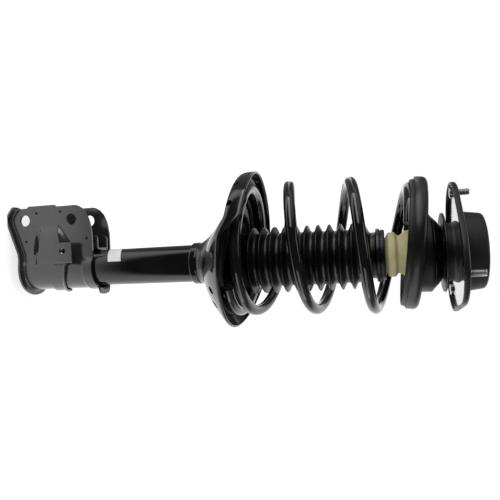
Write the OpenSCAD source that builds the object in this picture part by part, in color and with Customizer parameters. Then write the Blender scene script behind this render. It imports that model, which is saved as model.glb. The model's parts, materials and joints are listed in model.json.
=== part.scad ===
// Strut assembly: damper, coil spring, top mount and knuckle bracket.
// Millimetres. The strut's axis is Z. z = 0 is the top face of the mount plate,
// +X is the side on which the bracket's ears stand, +Z points up to the mount.

/* [Top mount] */
// Radius of the circle through the mounting studs
stud_circle_r = 70; // [68:0.5:71]
// Angle of the first stud from +X towards +Y
stud_angle = -12; // [-60:1:60]
// Thread diameter of the studs
stud_d = 7.9; // [7:0.1:10]
// Length of stud above the plate
stud_len = 16; // [12:0.5:24]
// Diameter of the stud heads under the plate
stud_head_d = 13; // [12:0.5:14]
// Height of the stud heads
stud_head_h = 2.6; // [2:0.1:3]
// Radius of the mount plate's three rounded corners
plate_corner_r = 48.5; // [48:0.5:54]
// Distance of the corners' middles from the strut's axis
plate_corner_off = 32; // [31.5:0.5:36]
// Sheet thickness of the mount plate
plate_t = 3; // [2.5:0.1:3.4]
// Height of the plate with its turned-down rim
plate_h = 6.5; // [6:0.1:9]
// Diameter of the cup where it meets the plate
cup_base_d = 91; // [88:0.5:94]
// Diameter of the cup at its top
cup_top_d = 84; // [82:0.5:86]
// Height of the cup
cup_h = 25; // [24.6:0.1:30]
// Wall of the cup
cup_wall = 4.5; // [3.5:0.1:5]
// Rounding of the cup's top edge
cup_edge_r = 4; // [2:0.2:4.4]
// Diameter of the opening in the cup's top
cup_mouth_d = 50; // [46:0.5:54]
// Diameter of the rubber neck below the plate
neck_d = 70; // [66:0.5:74]
// Length of the rubber neck below the plate's top face
neck_h = 16; // [15:0.1:18]
// Diameter of the rebound plate
rebound_d = 90; // [86:0.5:92]
// Thickness of the rebound plate
rebound_t = 2.5; // [2:0.1:3]
// Outside diameter of the steel core
core_d = 54; // [53:0.2:55]

/* [Bearing] */
// Bore of the bearing and diameter of the rod's end
bearing_bore_d = 17; // [16:0.1:18]
// Outside diameter of the bearing
bearing_d = 47; // [46:0.1:48]
// Width of the bearing
bearing_w = 14; // [12.5:0.1:14]
// Diameter of the bearing's balls
ball_d = 8.7; // [8:0.1:9]
// Number of balls
ball_count = 8; // [6:1:9]
// Height of the bearing's upper face above the plate's top face
bearing_top = 2; // [1:0.1:2.4]
// Play between ball, race and cage
ball_play = 0.12; // [0.08:0.01:0.16]

/* [Upper seat] */
// Diameter of the hat under the mount
hat_d = 89; // [84:0.5:92]
// Distance from the plate's top face down to the hat's top
hat_drop = 29.5; // [27:0.1:31]
// Thickness of the upper seat's sheet
seat_t = 2.8; // [2.2:0.1:3.2]
// Diameter of the upper seat
upper_seat_d = 152; // [148:0.5:158]
// Distance from the plate's top face down to the upper seat's face, on its centre
upper_seat_drop = 39.6; // [39:0.1:43]
// Height of the upper seat's skirt
upper_skirt_h = 14; // [10:0.5:15]
// Thickness of the rubber between seat and spring
upper_pad_t = 4.1; // [3:0.1:6]
// Height of the rubber lip round the last coil
upper_lip_h = 12; // [10:0.5:14]
// Radius of the hole through that rubber
upper_pad_r = 50; // [46:0.5:54]
// Small radius of the seal between hat and mount
seal_top_r = 30; // [28.5:0.5:33]
// Large radius of the seal between hat and mount
seal_base_r = 42; // [38:0.5:42]

/* [Spring] */
// Distance from the bowl's edge in to the coils' middle line
coil_inset = 21; // [19:0.5:22]
// Wire diameter
wire_d = 13.2; // [11:0.1:13.6]
// Distance from the upper seat's edge in to the last coil's middle line
end_coil_inset = 13.1; // [12.9:0.1:15]
// Sideways offset of the lower seat from the strut's axis, towards the ears
lower_off = 14; // [10:0.5:16]
// Sideways offset of the upper seat
upper_off = 11.4; // [8:0.2:14]
// Tilt of the lower seat, high on the ears' side
lower_tilt = 5; // [3:0.2:6]
// Tilt of the upper seat, high on the ears' side
upper_tilt = 6.5; // [4:0.2:7]
// Tilt of the free coils between the seats
coil_tilt = 2.8; // [1:0.2:5]
// Pitch of the active coils
pitch = 71.5; // [66:0.5:78]
// Pitch of the lower end coil
end_pitch = 12; // [12:0.5:16]
// Pitch of the upper end coil
top_pitch = 12; // [8:0.5:14]
// Angle of the lower tip, from +X towards +Y
tip_angle = 124; // [90:1:150]
// Angle at which the lower end coil opens
open_angle = 480; // [470:5:510]
// Angle at which the upper end coil closes
close_angle = 1388; // [1380:1:1410]
// Angle of the upper tip
end_angle = 1620; // [1590:5:1640]

/* [Lower seat] */
// Outside radius of the bowl
bowl_r = 96; // [94:0.5:100]
// Sheet thickness of the lower seat
bowl_t = 3; // [2.4:0.1:3.4]
// Depth from the coil's underside to the foot of the bowl's neck
seat_depth = 44.5; // [42:0.5:48]
// Height of the bowl's edge over the coil's underside, on the low side
edge_low = 2.5; // [1.5:0.5:4]
// Height of the bowl's edge over the coil's underside, on the high side
edge_high = 7; // [6:0.5:8]
// Height of the low rim over the coil's underside
rim_low = 5.5; // [5:0.5:9]
// Height of the high rim over the coil's underside
rim_high = 21.5; // [17:0.5:24]
// Distance from the bowl's edge in to the rubber under the spring
pad_inset = 16; // [15:0.5:18]
// Width of the rubber under the spring
pad_w = 16; // [14:0.5:18]
// Length of the seat's collar
collar_h = 12; // [10:0.5:15]
// Wall of the collar
collar_t = 2.5; // [2:0.1:3]
// Diameter of the drain holes
drain_d = 7; // [5:0.5:8]

/* [Damper] */
// Outside diameter of the strut tube
tube_d = 47.6; // [46.6:0.1:48.4]
// Wall of the strut tube
tube_t = 2.6; // [2.2:0.1:2.8]
// Distance from the plate's top face down to the tube's top
tube_top = 231; // [231:0.5:236]
// Distance from the plate's top face down to the tube's bottom
tube_bottom = 556; // [550:0.5:558]
// Diameter of the piston rod
rod_d = 22; // [20:0.1:22.4]
// Length of the rod's threaded end above the washer
rod_thread_h = 14; // [12:0.5:14]
// Thread diameter of the rod's upper end
rod_thread_d = 13.8; // [12:0.1:14]
// Inside diameter of the inner cylinder
cylinder_d = 32; // [31:0.1:32.4]
// Wall of the inner cylinder
cylinder_t = 1.5; // [1.2:0.1:1.6]
// Length of the rod guide
guide_h = 15; // [12:0.5:18]
// Length of the oil seal
oil_seal_h = 5.5; // [5:0.1:7]
// Length of the rebound stop
stop_h = 11; // [8:0.5:14]
// Length of the piston
piston_h = 25; // [20:0.5:28]
// Distance from the rod guide to the piston, fully extended
piston_gap = 45; // [40:1:60]
// Thread diameter of the rod's lower end
piston_thread_d = 12; // [10:0.1:13]
// Running clearance of rod and piston, on the radius
run_gap = 0.04; // [0.02:0.01:0.08]
// Thickness of the bump cap's sheet
cap_t = 1.8; // [1.5:0.1:2]
// Length of the bump cap's wall
cap_h = 14; // [10:0.5:18]

/* [Bump stop and boot] */
// Distance from the plate's top face down to the bump stop's tip
bump_bottom = 136; // [130:0.5:136]
// Largest diameter of the bump stop
bump_d = 55; // [50:0.5:57]
// Diameter of the bump stop's waist, which the boot grips
waist_d = 38.4; // [36:0.2:40]
// Distance from the plate's top face down to the boot's top
boot_top = 81; // [79:0.5:84]
// Distance from the plate's top face down to the boot's bottom
boot_bottom = 262; // [256:0.5:266]
// Number of ribs of the boot
rib_count = 11; // [8:1:12]
// Distance from the boot's top down to its first rib
rib_start = 23; // [20:0.5:26]
// Pitch of the ribs
rib_pitch = 13.35; // [12.6:0.05:13.6]
// Diameter over the lowest rib
rib_low_d = 82; // [80:0.5:84]
// Diameter over the highest rib
rib_high_d = 78; // [76:0.5:80]
// Depth of the ribs
rib_depth = 8; // [6:0.2:8.4]
// Wall of the boot
boot_wall = 1.8; // [1.4:0.1:2]

/* [Knuckle bracket] */
// Sheet thickness of the bracket
sheet_t = 2.8; // [2.4:0.1:3.2]
// Distance from the plate's top face down to the bracket's upper end
bracket_top = 450; // [446:0.5:454]
// Length of the wrap round the tube
wrap_len = 104; // [102:0.5:108]
// Inside width between the ears
ear_gap = 41.4; // [40:0.1:42]
// Reach of the ears from the strut's axis
ear_reach = 84.5; // [83:0.5:90]
// Height of the raised middle of the ears' edge
ear_tab_h = 2.4; // [1.6:0.1:4]
// Distance from the wrap's lower end to the ears' lowest point
ear_drop = 20; // [17:0.5:23]
// Diameter of the knuckle bolts' holes
bolt_hole_d = 15; // [12:0.1:16]
// Distance from the strut's axis to the bolt holes
bolt_hole_x = 68; // [64:0.5:70]
// Distance by which the upper bolt hole lies nearer to the tube
upper_hole_in = 2; // [0:0.5:4]
// Distance between the bolt holes along the strut
bolt_pitch = 71; // [68:0.5:72]
// Distance from the bracket's upper end down to the upper bolt hole
bolt_drop = 30; // [28:0.5:33]
// Diameter of the tooling holes
dot_d = 3.6; // [2:0.1:4]
// Height of the turned-out lip along the lower edge
lip_h = 7; // [4:0.5:9]
// Height of the turned-out lip at the back of the wrap's upper end
top_lip_h = 5; // [3:0.5:7]
// Half of the angle that this lip covers
top_lip_half = 45; // [30:1:60]
// Height of the pressed rib on each ear, at its foot
ear_rib_h = 3.4; // [2:0.1:4.5]
// Width of the pressed rib at its tip
ear_rib_w = 23; // [20:0.5:26]
// Width of the pressed rib at its foot
ear_rib_foot_w = 44; // [36:0.5:46]
// Width of the raised band at the wrap's upper end
band_w = 15; // [8:0.5:16]
// Height of that raised band
band_rise = 2; // [1:0.1:2.6]
// Reach of the gusset's flanges from the strut's axis
gusset_reach = 47; // [44:0.5:50]
// Outside width of the gusset
gusset_w = 26; // [22:0.5:36]
// Thickness of the gusset
gusset_t = 2.5; // [2:0.1:3]
// Length of gusset that shows past the bracket's upper end
gusset_past = 1; // [0.5:0.5:6]

/* [Hose bracket] */
// Side of the square hose tab
tab_w = 27; // [24:0.5:28]
// Distance from the strut's axis to the middle of the tab
tab_x = 21.5; // [20:0.5:24]
// Distance from the bracket's upper end down to the middle of the tab
tab_drop = 37; // [35:0.5:39]
// Distance from the strut's axis to the tab's back
tab_y = 33.5; // [32:0.5:36]
// Thickness of tab and strap
tab_t = 2.5; // [2:0.1:3]
// Width of the strap round the bracket
strap_w = 18; // [14:0.5:20]
// Distance by which the strap lies below the tab's lower edge
strap_slip = 9; // [6:0.5:10]
// Hole in the tab
tab_hole_d = 9; // [8:0.1:9.5]
// Core diameter of the hose nut's thread
hose_thread_d = 6.8; // [6:0.1:7]
// Thickness of the hose nut
hose_nut_h = 6; // [5:0.1:7]

/* [Hidden] */
$fn = 96;

// Clearances
fit = 0.1;
soft_fit = 0.25;
seal_gap = 0.7;
lip_gap = 0.8;
pad_gap = 0.45;
cut = 1;

// Finishes
black = [0.06, 0.06, 0.065];
satin = [0.12, 0.12, 0.125];
rubber = [0.2, 0.2, 0.21];
cream = [0.84, 0.81, 0.66];
zinc = [0.7, 0.72, 0.75];
steel = [0.62, 0.63, 0.65];

// Levels of the top mount, downwards from the plate's top face
rebound_z = -neck_h - rebound_t;
bearing_z = bearing_top - bearing_w;
hat_z = -hat_drop;
rod_shoulder_z = hat_z - seat_t;
washer_t = 3;
nut_h = 11;
thread_z = bearing_top + washer_t - 0.2;
rod_end_z = bearing_top + washer_t + rod_thread_h;
circlip_t = 1.4;
circlip_groove = 1.2;
core_top_z = bearing_top + circlip_t + 3.5;
core_lip_r = bearing_d / 2 - 3.5;

// Bearing sections
ball_circle_r = (bearing_bore_d + bearing_d) / 4;
ball_z = bearing_z + bearing_w / 2;
land = ball_d * 0.3;
cage_t = 2.8;
cage_h = ball_d + 2.4;

// Spring: height of the wire's middle over the tip, before the seats' tilt
wire_r = wire_d / 2;
coil_r = bowl_r - coil_inset;
end_coil_r = upper_seat_d / 2 - end_coil_inset;
blend_angle = 60;
function eased(x) =
    x <= -blend_angle ? 0 :
    x >= blend_angle ? x :
    pow(x + blend_angle, 2) / (4 * blend_angle);
function climb(a) =
    end_pitch * (a - tip_angle) / 360
    + (pitch - end_pitch) * eased(a - open_angle) / 360
    - (pitch - top_pitch) * eased(a - close_angle) / 360;
coil_height = climb(end_angle);
upper_pad_z = -upper_seat_drop - seat_t - upper_pad_t;
coil_top_z = upper_pad_z - soft_fit - wire_r;
coil_low_z = coil_top_z - coil_height;
upper_coil_off = upper_off + (seat_t + upper_pad_t + wire_r) * tan(upper_tilt);

// The coils shift and tilt towards the upper seat, then draw in over the last turn
shift_from = 800;
shift_to = 1100;
draw_from = 1245;
draw_to = 1375;
// The lower seat's tilt eases off over the first free turn, the upper seat's comes in before the last
lean_off = [open_angle, open_angle + 220];
lean_on = [close_angle - 288, close_angle - 18];
function smooth(x) = x <= 0 ? 0 : x >= 1 ? 1 : x * x * (3 - 2 * x);
function shifted(low, high, a) = low + (high - low) * smooth((a - shift_from) / (shift_to - shift_from));
function drawn_r(a) = coil_r + (end_coil_r - coil_r) * smooth((a - draw_from) / (draw_to - draw_from));
function share(a, span) = smooth((a - span[0]) / (span[1] - span[0]));
function coil_lean(a) =
    lower_tilt + (coil_tilt - lower_tilt) * share(a, lean_off) + (upper_tilt - coil_tilt) * share(a, lean_on);
function coil_point(a) = [
    shifted(lower_off, upper_coil_off, a) + drawn_r(a) * cos(a),
    drawn_r(a) * sin(a),
    coil_low_z + climb(a) + drawn_r(a) * cos(a) * tan(coil_lean(a))
];

// Lower seat, in the tilted frame on the spring's centre line
pad_z = coil_low_z - wire_r - soft_fit;
neck_base_z = pad_z - seat_depth;
collar_z = neck_base_z - collar_h;
tube_r = tube_d / 2;
collar_r = tube_r + fit + collar_t;

// Damper levels
tube_in_r = tube_r - tube_t;
rod_r = rod_d / 2;
cap_in_r = tube_r + fit;
seal_z = -tube_top - 1.5;
guide_z = seal_z - oil_seal_h;
guide_low_z = guide_z - guide_h;
cylinder_in_r = cylinder_d / 2;
cylinder_r = cylinder_in_r + cylinder_t;
cylinder_top_z = guide_low_z + 8;
base_cap_h = 8;
base_z = -tube_bottom + 4;
valve_flange_h = 3;
valve_h = 10;
cylinder_low_z = base_z + valve_flange_h;
stop_z = guide_low_z - 0.3;
piston_z = guide_low_z - piston_gap;
piston_low_z = piston_z - piston_h;
piston_nut_h = 11;
piston_r = cylinder_in_r - 0.35;
band_depth = 1.2;
band_h = 13;

// Bracket levels and outlines
wrap_in_r = tube_r + fit;
wrap_r = wrap_in_r + sheet_t;
ear_in_y = ear_gap / 2;
ear_y = ear_in_y + sheet_t;
ear_foot_x = sqrt(pow(wrap_in_r, 2) - pow(ear_in_y, 2)) + fit;
bracket_z = -bracket_top;
wrap_low_z = bracket_z - wrap_len;
ear_low_z = wrap_low_z - ear_drop;
bolt_zs = [bracket_z - bolt_drop, bracket_z - bolt_drop - bolt_pitch];
bolt_xs = [bolt_hole_x - upper_hole_in, bolt_hole_x];
tab_z = bracket_z - tab_drop;
tab_hole_off = 2.5;
tab_hole_x = tab_x + tab_hole_off;
tab_corner_r = 3;
strap_lap = 2;
span = 200;
strap_in_r = wrap_r + fit;
strap_r = strap_in_r + tab_t;
strap_z = tab_z - tab_w / 2 - strap_slip;

// Points of an arc round c, from angle a to angle b
function arc(c, r, a, b, steps) = [
    for (i = [0:steps]) c + r * [cos(a + (b - a) * i / steps), sin(a + (b - a) * i / steps)]
];

// Outline with every corner rounded: each corner is [x, y, radius]
function corner_arc(p, q, s, r, steps) =
    let (
        u = (p - q) / norm(p - q),
        w = (s - q) / norm(s - q),
        half = acos(u * w) / 2,
        c = q + (u + w) / norm(u + w) * r / sin(half),
        from = q + u * r / tan(half) - c,
        to = q + w * r / tan(half) - c,
        a = atan2(from[1], from[0]),
        turn = atan2(from[0] * to[1] - from[1] * to[0], from * to)
    )
    [for (i = [0:steps]) c + r * [cos(a + turn * i / steps), sin(a + turn * i / steps)]];
function xy(p) = [p[0], p[1]];
function rounded(corners) = [
    for (i = [0:len(corners) - 1])
        let (
            n = len(corners),
            q = corners[i],
            p = corners[(i + n - 1) % n],
            s = corners[(i + 1) % n]
        )
        each (q[2] > 0 ? corner_arc(xy(p), xy(q), xy(s), q[2], 6) : [xy(q)])
];

// Round tube between two levels
module ring(r, bore, low, high) {
    difference() {
        translate([0, 0, low]) cylinder(r = r, h = high - low);
        translate([0, 0, low - cut]) cylinder(r = bore, h = high - low + 2 * cut);
    }
}

// Solid of revolution from [radius, z] points
module turned(points) {
    rotate_extrude() polygon(points);
}

// Frame of the upper seat: on its centre, tilted, at height z
module on_upper_seat(z) {
    translate([upper_off, 0, z]) rotate([0, -upper_tilt, 0]) children();
}

// Hexagon prism across flats
module hexagon(flats, low, high) {
    translate([0, 0, low]) cylinder(d = flats / cos(30), h = high - low, $fn = 6);
}

module around_studs() {
    for (i = [0:2]) rotate(stud_angle + i * 120) children();
}

// Outline of the mount plate, drawn in by inset: three round corners and straight sides
plate_corner_steps = 24;
module plate_outline(inset) {
    polygon([
        for (i = [0:2])
            let (turn = stud_angle + i * 120, c = plate_corner_off * [cos(turn), sin(turn)])
            each arc(c, plate_corner_r - inset, turn - 60, turn + 60, plate_corner_steps)
    ]);
}

// Seat of the cup in the plate, and the studs' pressed-in shank
cup_seat = 0.4;
shank_r = stud_d / 2 + 0.4;
shank_rise = 0.5;

module mount_plate() {
    color(satin) difference() {
        translate([0, 0, -plate_h]) linear_extrude(plate_h) plate_outline(0);
        translate([0, 0, -plate_h - cut]) linear_extrude(plate_h - plate_t + cut) plate_outline(plate_t);
        translate([0, 0, -plate_h - cut]) cylinder(d = neck_d + 2 * fit, h = plate_h + 2 * cut);
        translate([0, 0, -cup_seat]) cylinder(d = cup_base_d + 2 * fit, h = cup_seat + cut);
        around_studs() translate([stud_circle_r, 0, -plate_h - cut])
            cylinder(r = shank_r + fit, h = plate_h + 2 * cut);
    }
}

module mount_studs() {
    chamfer = 1;
    color(zinc) around_studs() translate([stud_circle_r, 0, 0]) turned([
        [0, -plate_t - stud_head_h], [stud_head_d / 2, -plate_t - stud_head_h], [stud_head_d / 2, -plate_t],
        [shank_r, -plate_t], [shank_r, shank_rise], [stud_d / 2, shank_rise],
        [stud_d / 2, stud_len - chamfer], [stud_d / 2 - chamfer, stud_len],
        [0, stud_len]
    ]);
}

// Radius of the cup's inside at height z, drawn in by gap
function cup_in_r(z, gap) =
    cup_base_d / 2 - cup_wall - gap - (cup_base_d - cup_top_d) / 2 * z / cup_h;

module mount_cup() {
    lid_z = cup_h - cup_wall;
    color(rubber) turned(concat(
        [[cup_in_r(0, 0), -cup_seat], [cup_base_d / 2, -cup_seat], [cup_base_d / 2, 0]],
        arc([cup_top_d / 2 - cup_edge_r, cup_h - cup_edge_r], cup_edge_r, 0, 90, 8),
        [[cup_mouth_d / 2, cup_h], [cup_mouth_d / 2, lid_z], [cup_in_r(lid_z, 0), lid_z]]
    ));
}

module mount_bushing() {
    top_z = cup_h - cup_wall - 1.5;
    foot_z = 0.2 - cup_seat;
    color(satin) turned([
        [core_d / 2 + fit, -neck_h], [neck_d / 2, -neck_h], [neck_d / 2, foot_z],
        [cup_in_r(foot_z, fit), foot_z], [cup_in_r(top_z, fit), top_z], [core_d / 2 + fit, core_top_z]
    ]);
}

module mount_core() {
    race_r = bearing_d / 2 + 0.02;
    groove_r = bearing_d / 2 + circlip_groove;
    groove_top = bearing_top + circlip_t + fit;
    color(steel) turned([
        [core_lip_r, rebound_z], [core_d / 2, rebound_z], [core_d / 2, core_top_z], [race_r, core_top_z],
        [race_r, groove_top], [groove_r, groove_top], [groove_r, bearing_top], [race_r, bearing_top],
        [race_r, bearing_z], [core_lip_r, bearing_z]
    ]);
}

module rebound_plate() {
    color(black) ring(rebound_d / 2, core_d / 2 + fit, rebound_z, -neck_h);
}

// Groove in which the balls run
module ball_track() {
    translate([0, 0, ball_z]) rotate_extrude()
        translate([ball_circle_r, 0]) circle(d = ball_d + 2 * ball_play);
}

module bearing_outer_race() {
    color(steel) difference() {
        ring(bearing_d / 2, ball_circle_r + land, bearing_z, bearing_top);
        ball_track();
    }
}

module bearing_inner_race() {
    color(steel) difference() {
        ring(ball_circle_r - land, bearing_bore_d / 2 + 0.02, bearing_z, bearing_top);
        ball_track();
    }
}

module bearing_circlip() {
    color(steel) ring(
        bearing_d / 2 + circlip_groove - fit, bearing_d / 2 - 2.5, bearing_top, bearing_top + circlip_t
    );
}

module around_balls() {
    for (i = [0:ball_count - 1])
        rotate(i * 360 / ball_count) translate([ball_circle_r, 0, ball_z]) children();
}

module bearing_balls() {
    color(zinc) around_balls() sphere(d = ball_d);
}

module bearing_cage() {
    color(steel) difference() {
        ring(
            ball_circle_r + cage_t / 2, ball_circle_r - cage_t / 2, ball_z - cage_h / 2, ball_z + cage_h / 2
        );
        around_balls() sphere(d = ball_d + 2 * ball_play);
    }
}

module rod_nut() {
    flats = rod_thread_d + 7.2;
    low = bearing_top + washer_t;
    color(zinc) difference() {
        union() {
            hexagon(flats, low, low + nut_h);
            translate([0, 0, low]) cylinder(d = flats + 4, h = 2);
        }
        translate([0, 0, low - cut]) cylinder(d = rod_thread_d + fit, h = nut_h + 2 * cut);
    }
}

module rod_washer() {
    color(zinc) ring(
        bearing_bore_d / 2 + 6, bearing_bore_d / 2 + fit, bearing_top, bearing_top + washer_t
    );
}

module bearing_spacer() {
    color(steel) ring(bearing_bore_d / 2 + 4, bearing_bore_d / 2 + fit, hat_z, bearing_z);
}

module seat_seal() {
    bore = bearing_bore_d / 2 + 4 + fit;
    top_z = rebound_z - seal_gap;
    color(black) turned([[bore, hat_z], [seal_base_r, hat_z], [seal_top_r, top_z], [bore, top_z]]);
}

module upper_spring_seat() {
    edge_r = 6;
    seat_r = upper_seat_d / 2;
    deep = 200;
    color(rubber) difference() {
        union() {
            on_upper_seat(-upper_seat_drop) turned(concat(
                [[0, -upper_skirt_h], [seat_r, -upper_skirt_h]],
                arc([seat_r - edge_r, -edge_r], edge_r, 0, 90, 6),
                [[0, 0]]
            ));
            translate([0, 0, -upper_seat_drop - seat_t])
                cylinder(d = hat_d, h = upper_seat_drop + seat_t + hat_z);
        }
        on_upper_seat(-upper_seat_drop - seat_t) translate([0, 0, -upper_skirt_h])
            cylinder(r = seat_r - seat_t, h = upper_skirt_h);
        translate([0, 0, -deep]) cylinder(d = hat_d - 2 * seat_t, h = deep + rod_shoulder_z);
        translate([0, 0, rod_shoulder_z - cut]) cylinder(d = bearing_bore_d + 2 * fit, h = seat_t + 2 * cut);
    }
}

module upper_insulator() {
    outer = upper_seat_d / 2 - seat_t - fit;
    inner = end_coil_r + wire_r + lip_gap;
    color(rubber) on_upper_seat(-upper_seat_drop - seat_t) turned([
        [upper_pad_r, -fit], [outer, -fit], [outer, -upper_pad_t - upper_lip_h],
        [inner, -upper_pad_t - upper_lip_h], [inner, -upper_pad_t], [upper_pad_r, -upper_pad_t]
    ]);
}

// Round wire swept along the spring's line, with a flat end at each tip
wire_sides = 10;
wire_step = 10;
wire_rings = ceil((end_angle - tip_angle) / wire_step);
function wire_angle(i) = tip_angle + (end_angle - tip_angle) * i / wire_rings;
function unit(v) = v / norm(v);
function wire_ring(a) =
    let (
        along = unit(coil_point(a + 0.5) - coil_point(a - 0.5)),
        side = unit(cross(along, [0, 0, 1])),
        up = cross(side, along)
    )
    [for (k = [0:wire_sides - 1])
        coil_point(a) + wire_r * (cos(360 * k / wire_sides) * side + sin(360 * k / wire_sides) * up)];
wire_points = [for (i = [0:wire_rings]) each wire_ring(wire_angle(i))];
wire_faces = concat(
    [for (i = [0:wire_rings - 1], k = [0:wire_sides - 1])
        let (a = i * wire_sides + k, b = i * wire_sides + (k + 1) % wire_sides)
        each [[a, b, a + wire_sides], [b, b + wire_sides, a + wire_sides]]],
    [for (k = [1:wire_sides - 2]) [0, k + 1, k]],
    [for (k = [1:wire_sides - 2])
        let (last = wire_rings * wire_sides)
        [last, last + k, last + k + 1]]
);

// Least gap between turns, measured on the wire's middle line
gap_step = 10;
turn_gap = min([
    for (a = [tip_angle:gap_step:end_angle - 360], b = [a + 270:gap_step:min(a + 450, end_angle)])
        norm(coil_point(a) - coil_point(b)) - wire_d
]);
echo(spring_least_gap = turn_gap);

module coil_spring() {
    color(black) polyhedron(points = wire_points, faces = wire_faces);
}

module bump_stop() {
    bore = rod_r + soft_fit;
    top_z = rod_shoulder_z - soft_fit;
    big_r = bump_d / 2;
    waist_r = waist_d / 2;
    groove_r = big_r - 5.5;
    foot_r = waist_r + 4;
    color(cream) turned([
        [bore, top_z], [big_r - 2, top_z], [big_r, top_z - 3], [big_r, -boot_top + 24],
        [groove_r, -boot_top + 16], [groove_r, -boot_top + 14], [big_r - 1.5, -boot_top + 11],
        [big_r - 1.5, -boot_top + 4], [waist_r, -boot_top], [waist_r, -boot_top - 18],
        [foot_r, -boot_top - 22], [foot_r, -boot_top - 36], [foot_r - 3, -boot_top - 40],
        [foot_r - 2, -boot_top - 44], [foot_r - 6, -bump_bottom], [bore, -bump_bottom]
    ]);
}

// Boot: ribs swell from the low diameter to the high one, the bore follows the ribs
function rib_z(i) = -boot_top - rib_start - rib_pitch * i;
function rib_r(i) = (rib_high_d + (rib_low_d - rib_high_d) * i / (rib_count - 1)) / 2;
boot_crest = 1.4;
function boot_side(inset) = [
    for (i = [0:rib_count - 1])
        each [
            [rib_r(i) - rib_depth - inset, rib_z(i) + rib_pitch / 2 - boot_crest],
            [rib_r(i) - inset, rib_z(i) + boot_crest],
            [rib_r(i) - inset, rib_z(i) - boot_crest],
            [rib_r(i) - rib_depth - inset, rib_z(i) - rib_pitch / 2 + boot_crest]
        ]
];
function backwards(list) = [for (i = [len(list) - 1:-1:0]) list[i]];

module dust_boot() {
    grip_r = waist_d / 2 + fit;
    neck_r = grip_r + 7.5;
    cuff_r = rib_r(rib_count - 1) - rib_depth;
    neck_z = rib_z(0) + rib_pitch / 2;
    collar_r1 = neck_r + 4.3;
    collar_r2 = neck_r + 2.2;
    color(black) turned(concat(
        [
            [grip_r, -boot_top], [collar_r2, -boot_top], [collar_r2, -boot_top - 3],
            [neck_r, -boot_top - 3.5], [neck_r, -boot_top - 5], [collar_r1, -boot_top - 5.5],
            [collar_r1, -boot_top - 10], [neck_r, -boot_top - 11], [neck_r, neck_z]
        ],
        boot_side(0),
        [[cuff_r, -boot_bottom], [cuff_r - boot_wall, -boot_bottom]],
        backwards(boot_side(boot_wall)),
        [[neck_r - boot_wall, neck_z], [grip_r + boot_wall + 4, -boot_top - 17.6], [grip_r, -boot_top - 17.6]]
    ));
}

module piston_rod() {
    chamfer = 1;
    color(zinc) turned([
        [0, piston_low_z - piston_nut_h - 4], [piston_thread_d / 2, piston_low_z - piston_nut_h - 4],
        [piston_thread_d / 2, piston_z], [rod_r, piston_z], [rod_r, rod_shoulder_z],
        [bearing_bore_d / 2, rod_shoulder_z], [bearing_bore_d / 2, thread_z],
        [rod_thread_d / 2, thread_z], [rod_thread_d / 2, rod_end_z - chamfer],
        [rod_thread_d / 2 - chamfer, rod_end_z], [0, rod_end_z]
    ]);
}

module rebound_stop() {
    color(rubber) ring(cylinder_in_r - 0.6, rod_r + fit, stop_z - stop_h, stop_z);
}

module piston() {
    ports = 6;
    port_d = 3;
    band_mid = piston_z - piston_h / 2;
    color(steel) difference() {
        ring(piston_r, piston_thread_d / 2 + fit / 2, piston_low_z, piston_z);
        ring(
            piston_r + cut, cylinder_in_r - run_gap - band_depth - 0.05,
            band_mid - band_h / 2 - 0.05, band_mid + band_h / 2 + 0.05
        );
        for (i = [0:ports - 1]) rotate(i * 360 / ports)
            translate([(rod_r + piston_thread_d / 2) / 2 + 2, 0, piston_low_z - cut])
                cylinder(d = port_d, h = piston_h + 2 * cut);
    }
}

module piston_band() {
    band_mid = piston_z - piston_h / 2;
    color(rubber) ring(
        cylinder_in_r - run_gap, cylinder_in_r - run_gap - band_depth,
        band_mid - band_h / 2, band_mid + band_h / 2
    );
}

module piston_nut() {
    color(zinc) difference() {
        hexagon(piston_thread_d + 7, piston_low_z - piston_nut_h, piston_low_z);
        translate([0, 0, piston_low_z - piston_nut_h - cut])
            cylinder(d = piston_thread_d + fit, h = piston_nut_h + 2 * cut);
    }
}

module strut_tube() {
    color(black) ring(tube_r, tube_in_r, -tube_bottom, -tube_top);
}

module bump_cap() {
    hole_r = rod_r + 2;
    color(satin) turned([
        [hole_r, -tube_top], [cap_in_r, -tube_top], [cap_in_r, -tube_top - cap_h],
        [cap_in_r + cap_t, -tube_top - cap_h], [cap_in_r + cap_t, -tube_top + cap_t],
        [hole_r, -tube_top + cap_t]
    ]);
}

module oil_seal() {
    color(rubber) ring(tube_in_r - fit / 2, rod_r + run_gap, guide_z, seal_z);
}

bush_t = 2;
bush_inset = 1;
module rod_guide() {
    bore = rod_r + run_gap + bush_t;
    color(steel) difference() {
        ring(tube_in_r - fit / 2, bore, guide_low_z, guide_z);
        ring(cylinder_r + fit / 2, cylinder_in_r - fit, guide_low_z - cut, cylinder_top_z);
    }
}

module guide_bush() {
    color(satin) ring(
        rod_r + run_gap + bush_t - fit / 5, rod_r + run_gap, guide_low_z + bush_inset, guide_z - bush_inset
    );
}

module inner_cylinder() {
    color(steel) ring(cylinder_r, cylinder_in_r, cylinder_low_z, cylinder_top_z);
}

module base_valve() {
    ports = 4;
    port_d = 4;
    color(steel) difference() {
        turned([
            [0, base_z], [cylinder_r, base_z], [cylinder_r, cylinder_low_z],
            [cylinder_in_r - fit / 2, cylinder_low_z], [cylinder_in_r - fit / 2, base_z + valve_h],
            [0, base_z + valve_h]
        ]);
        for (i = [0:ports - 1]) rotate(i * 360 / ports)
            translate([cylinder_in_r * 0.6, 0, base_z - cut]) cylinder(d = port_d, h = valve_h + 2 * cut);
    }
}

module base_cap() {
    rim_r = tube_in_r - fit / 2;
    color(satin) turned([
        [0, base_z - base_cap_h], [rim_r - 7, base_z - base_cap_h], [rim_r, base_z - 4], [rim_r, base_z],
        [0, base_z]
    ]);
}

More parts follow.
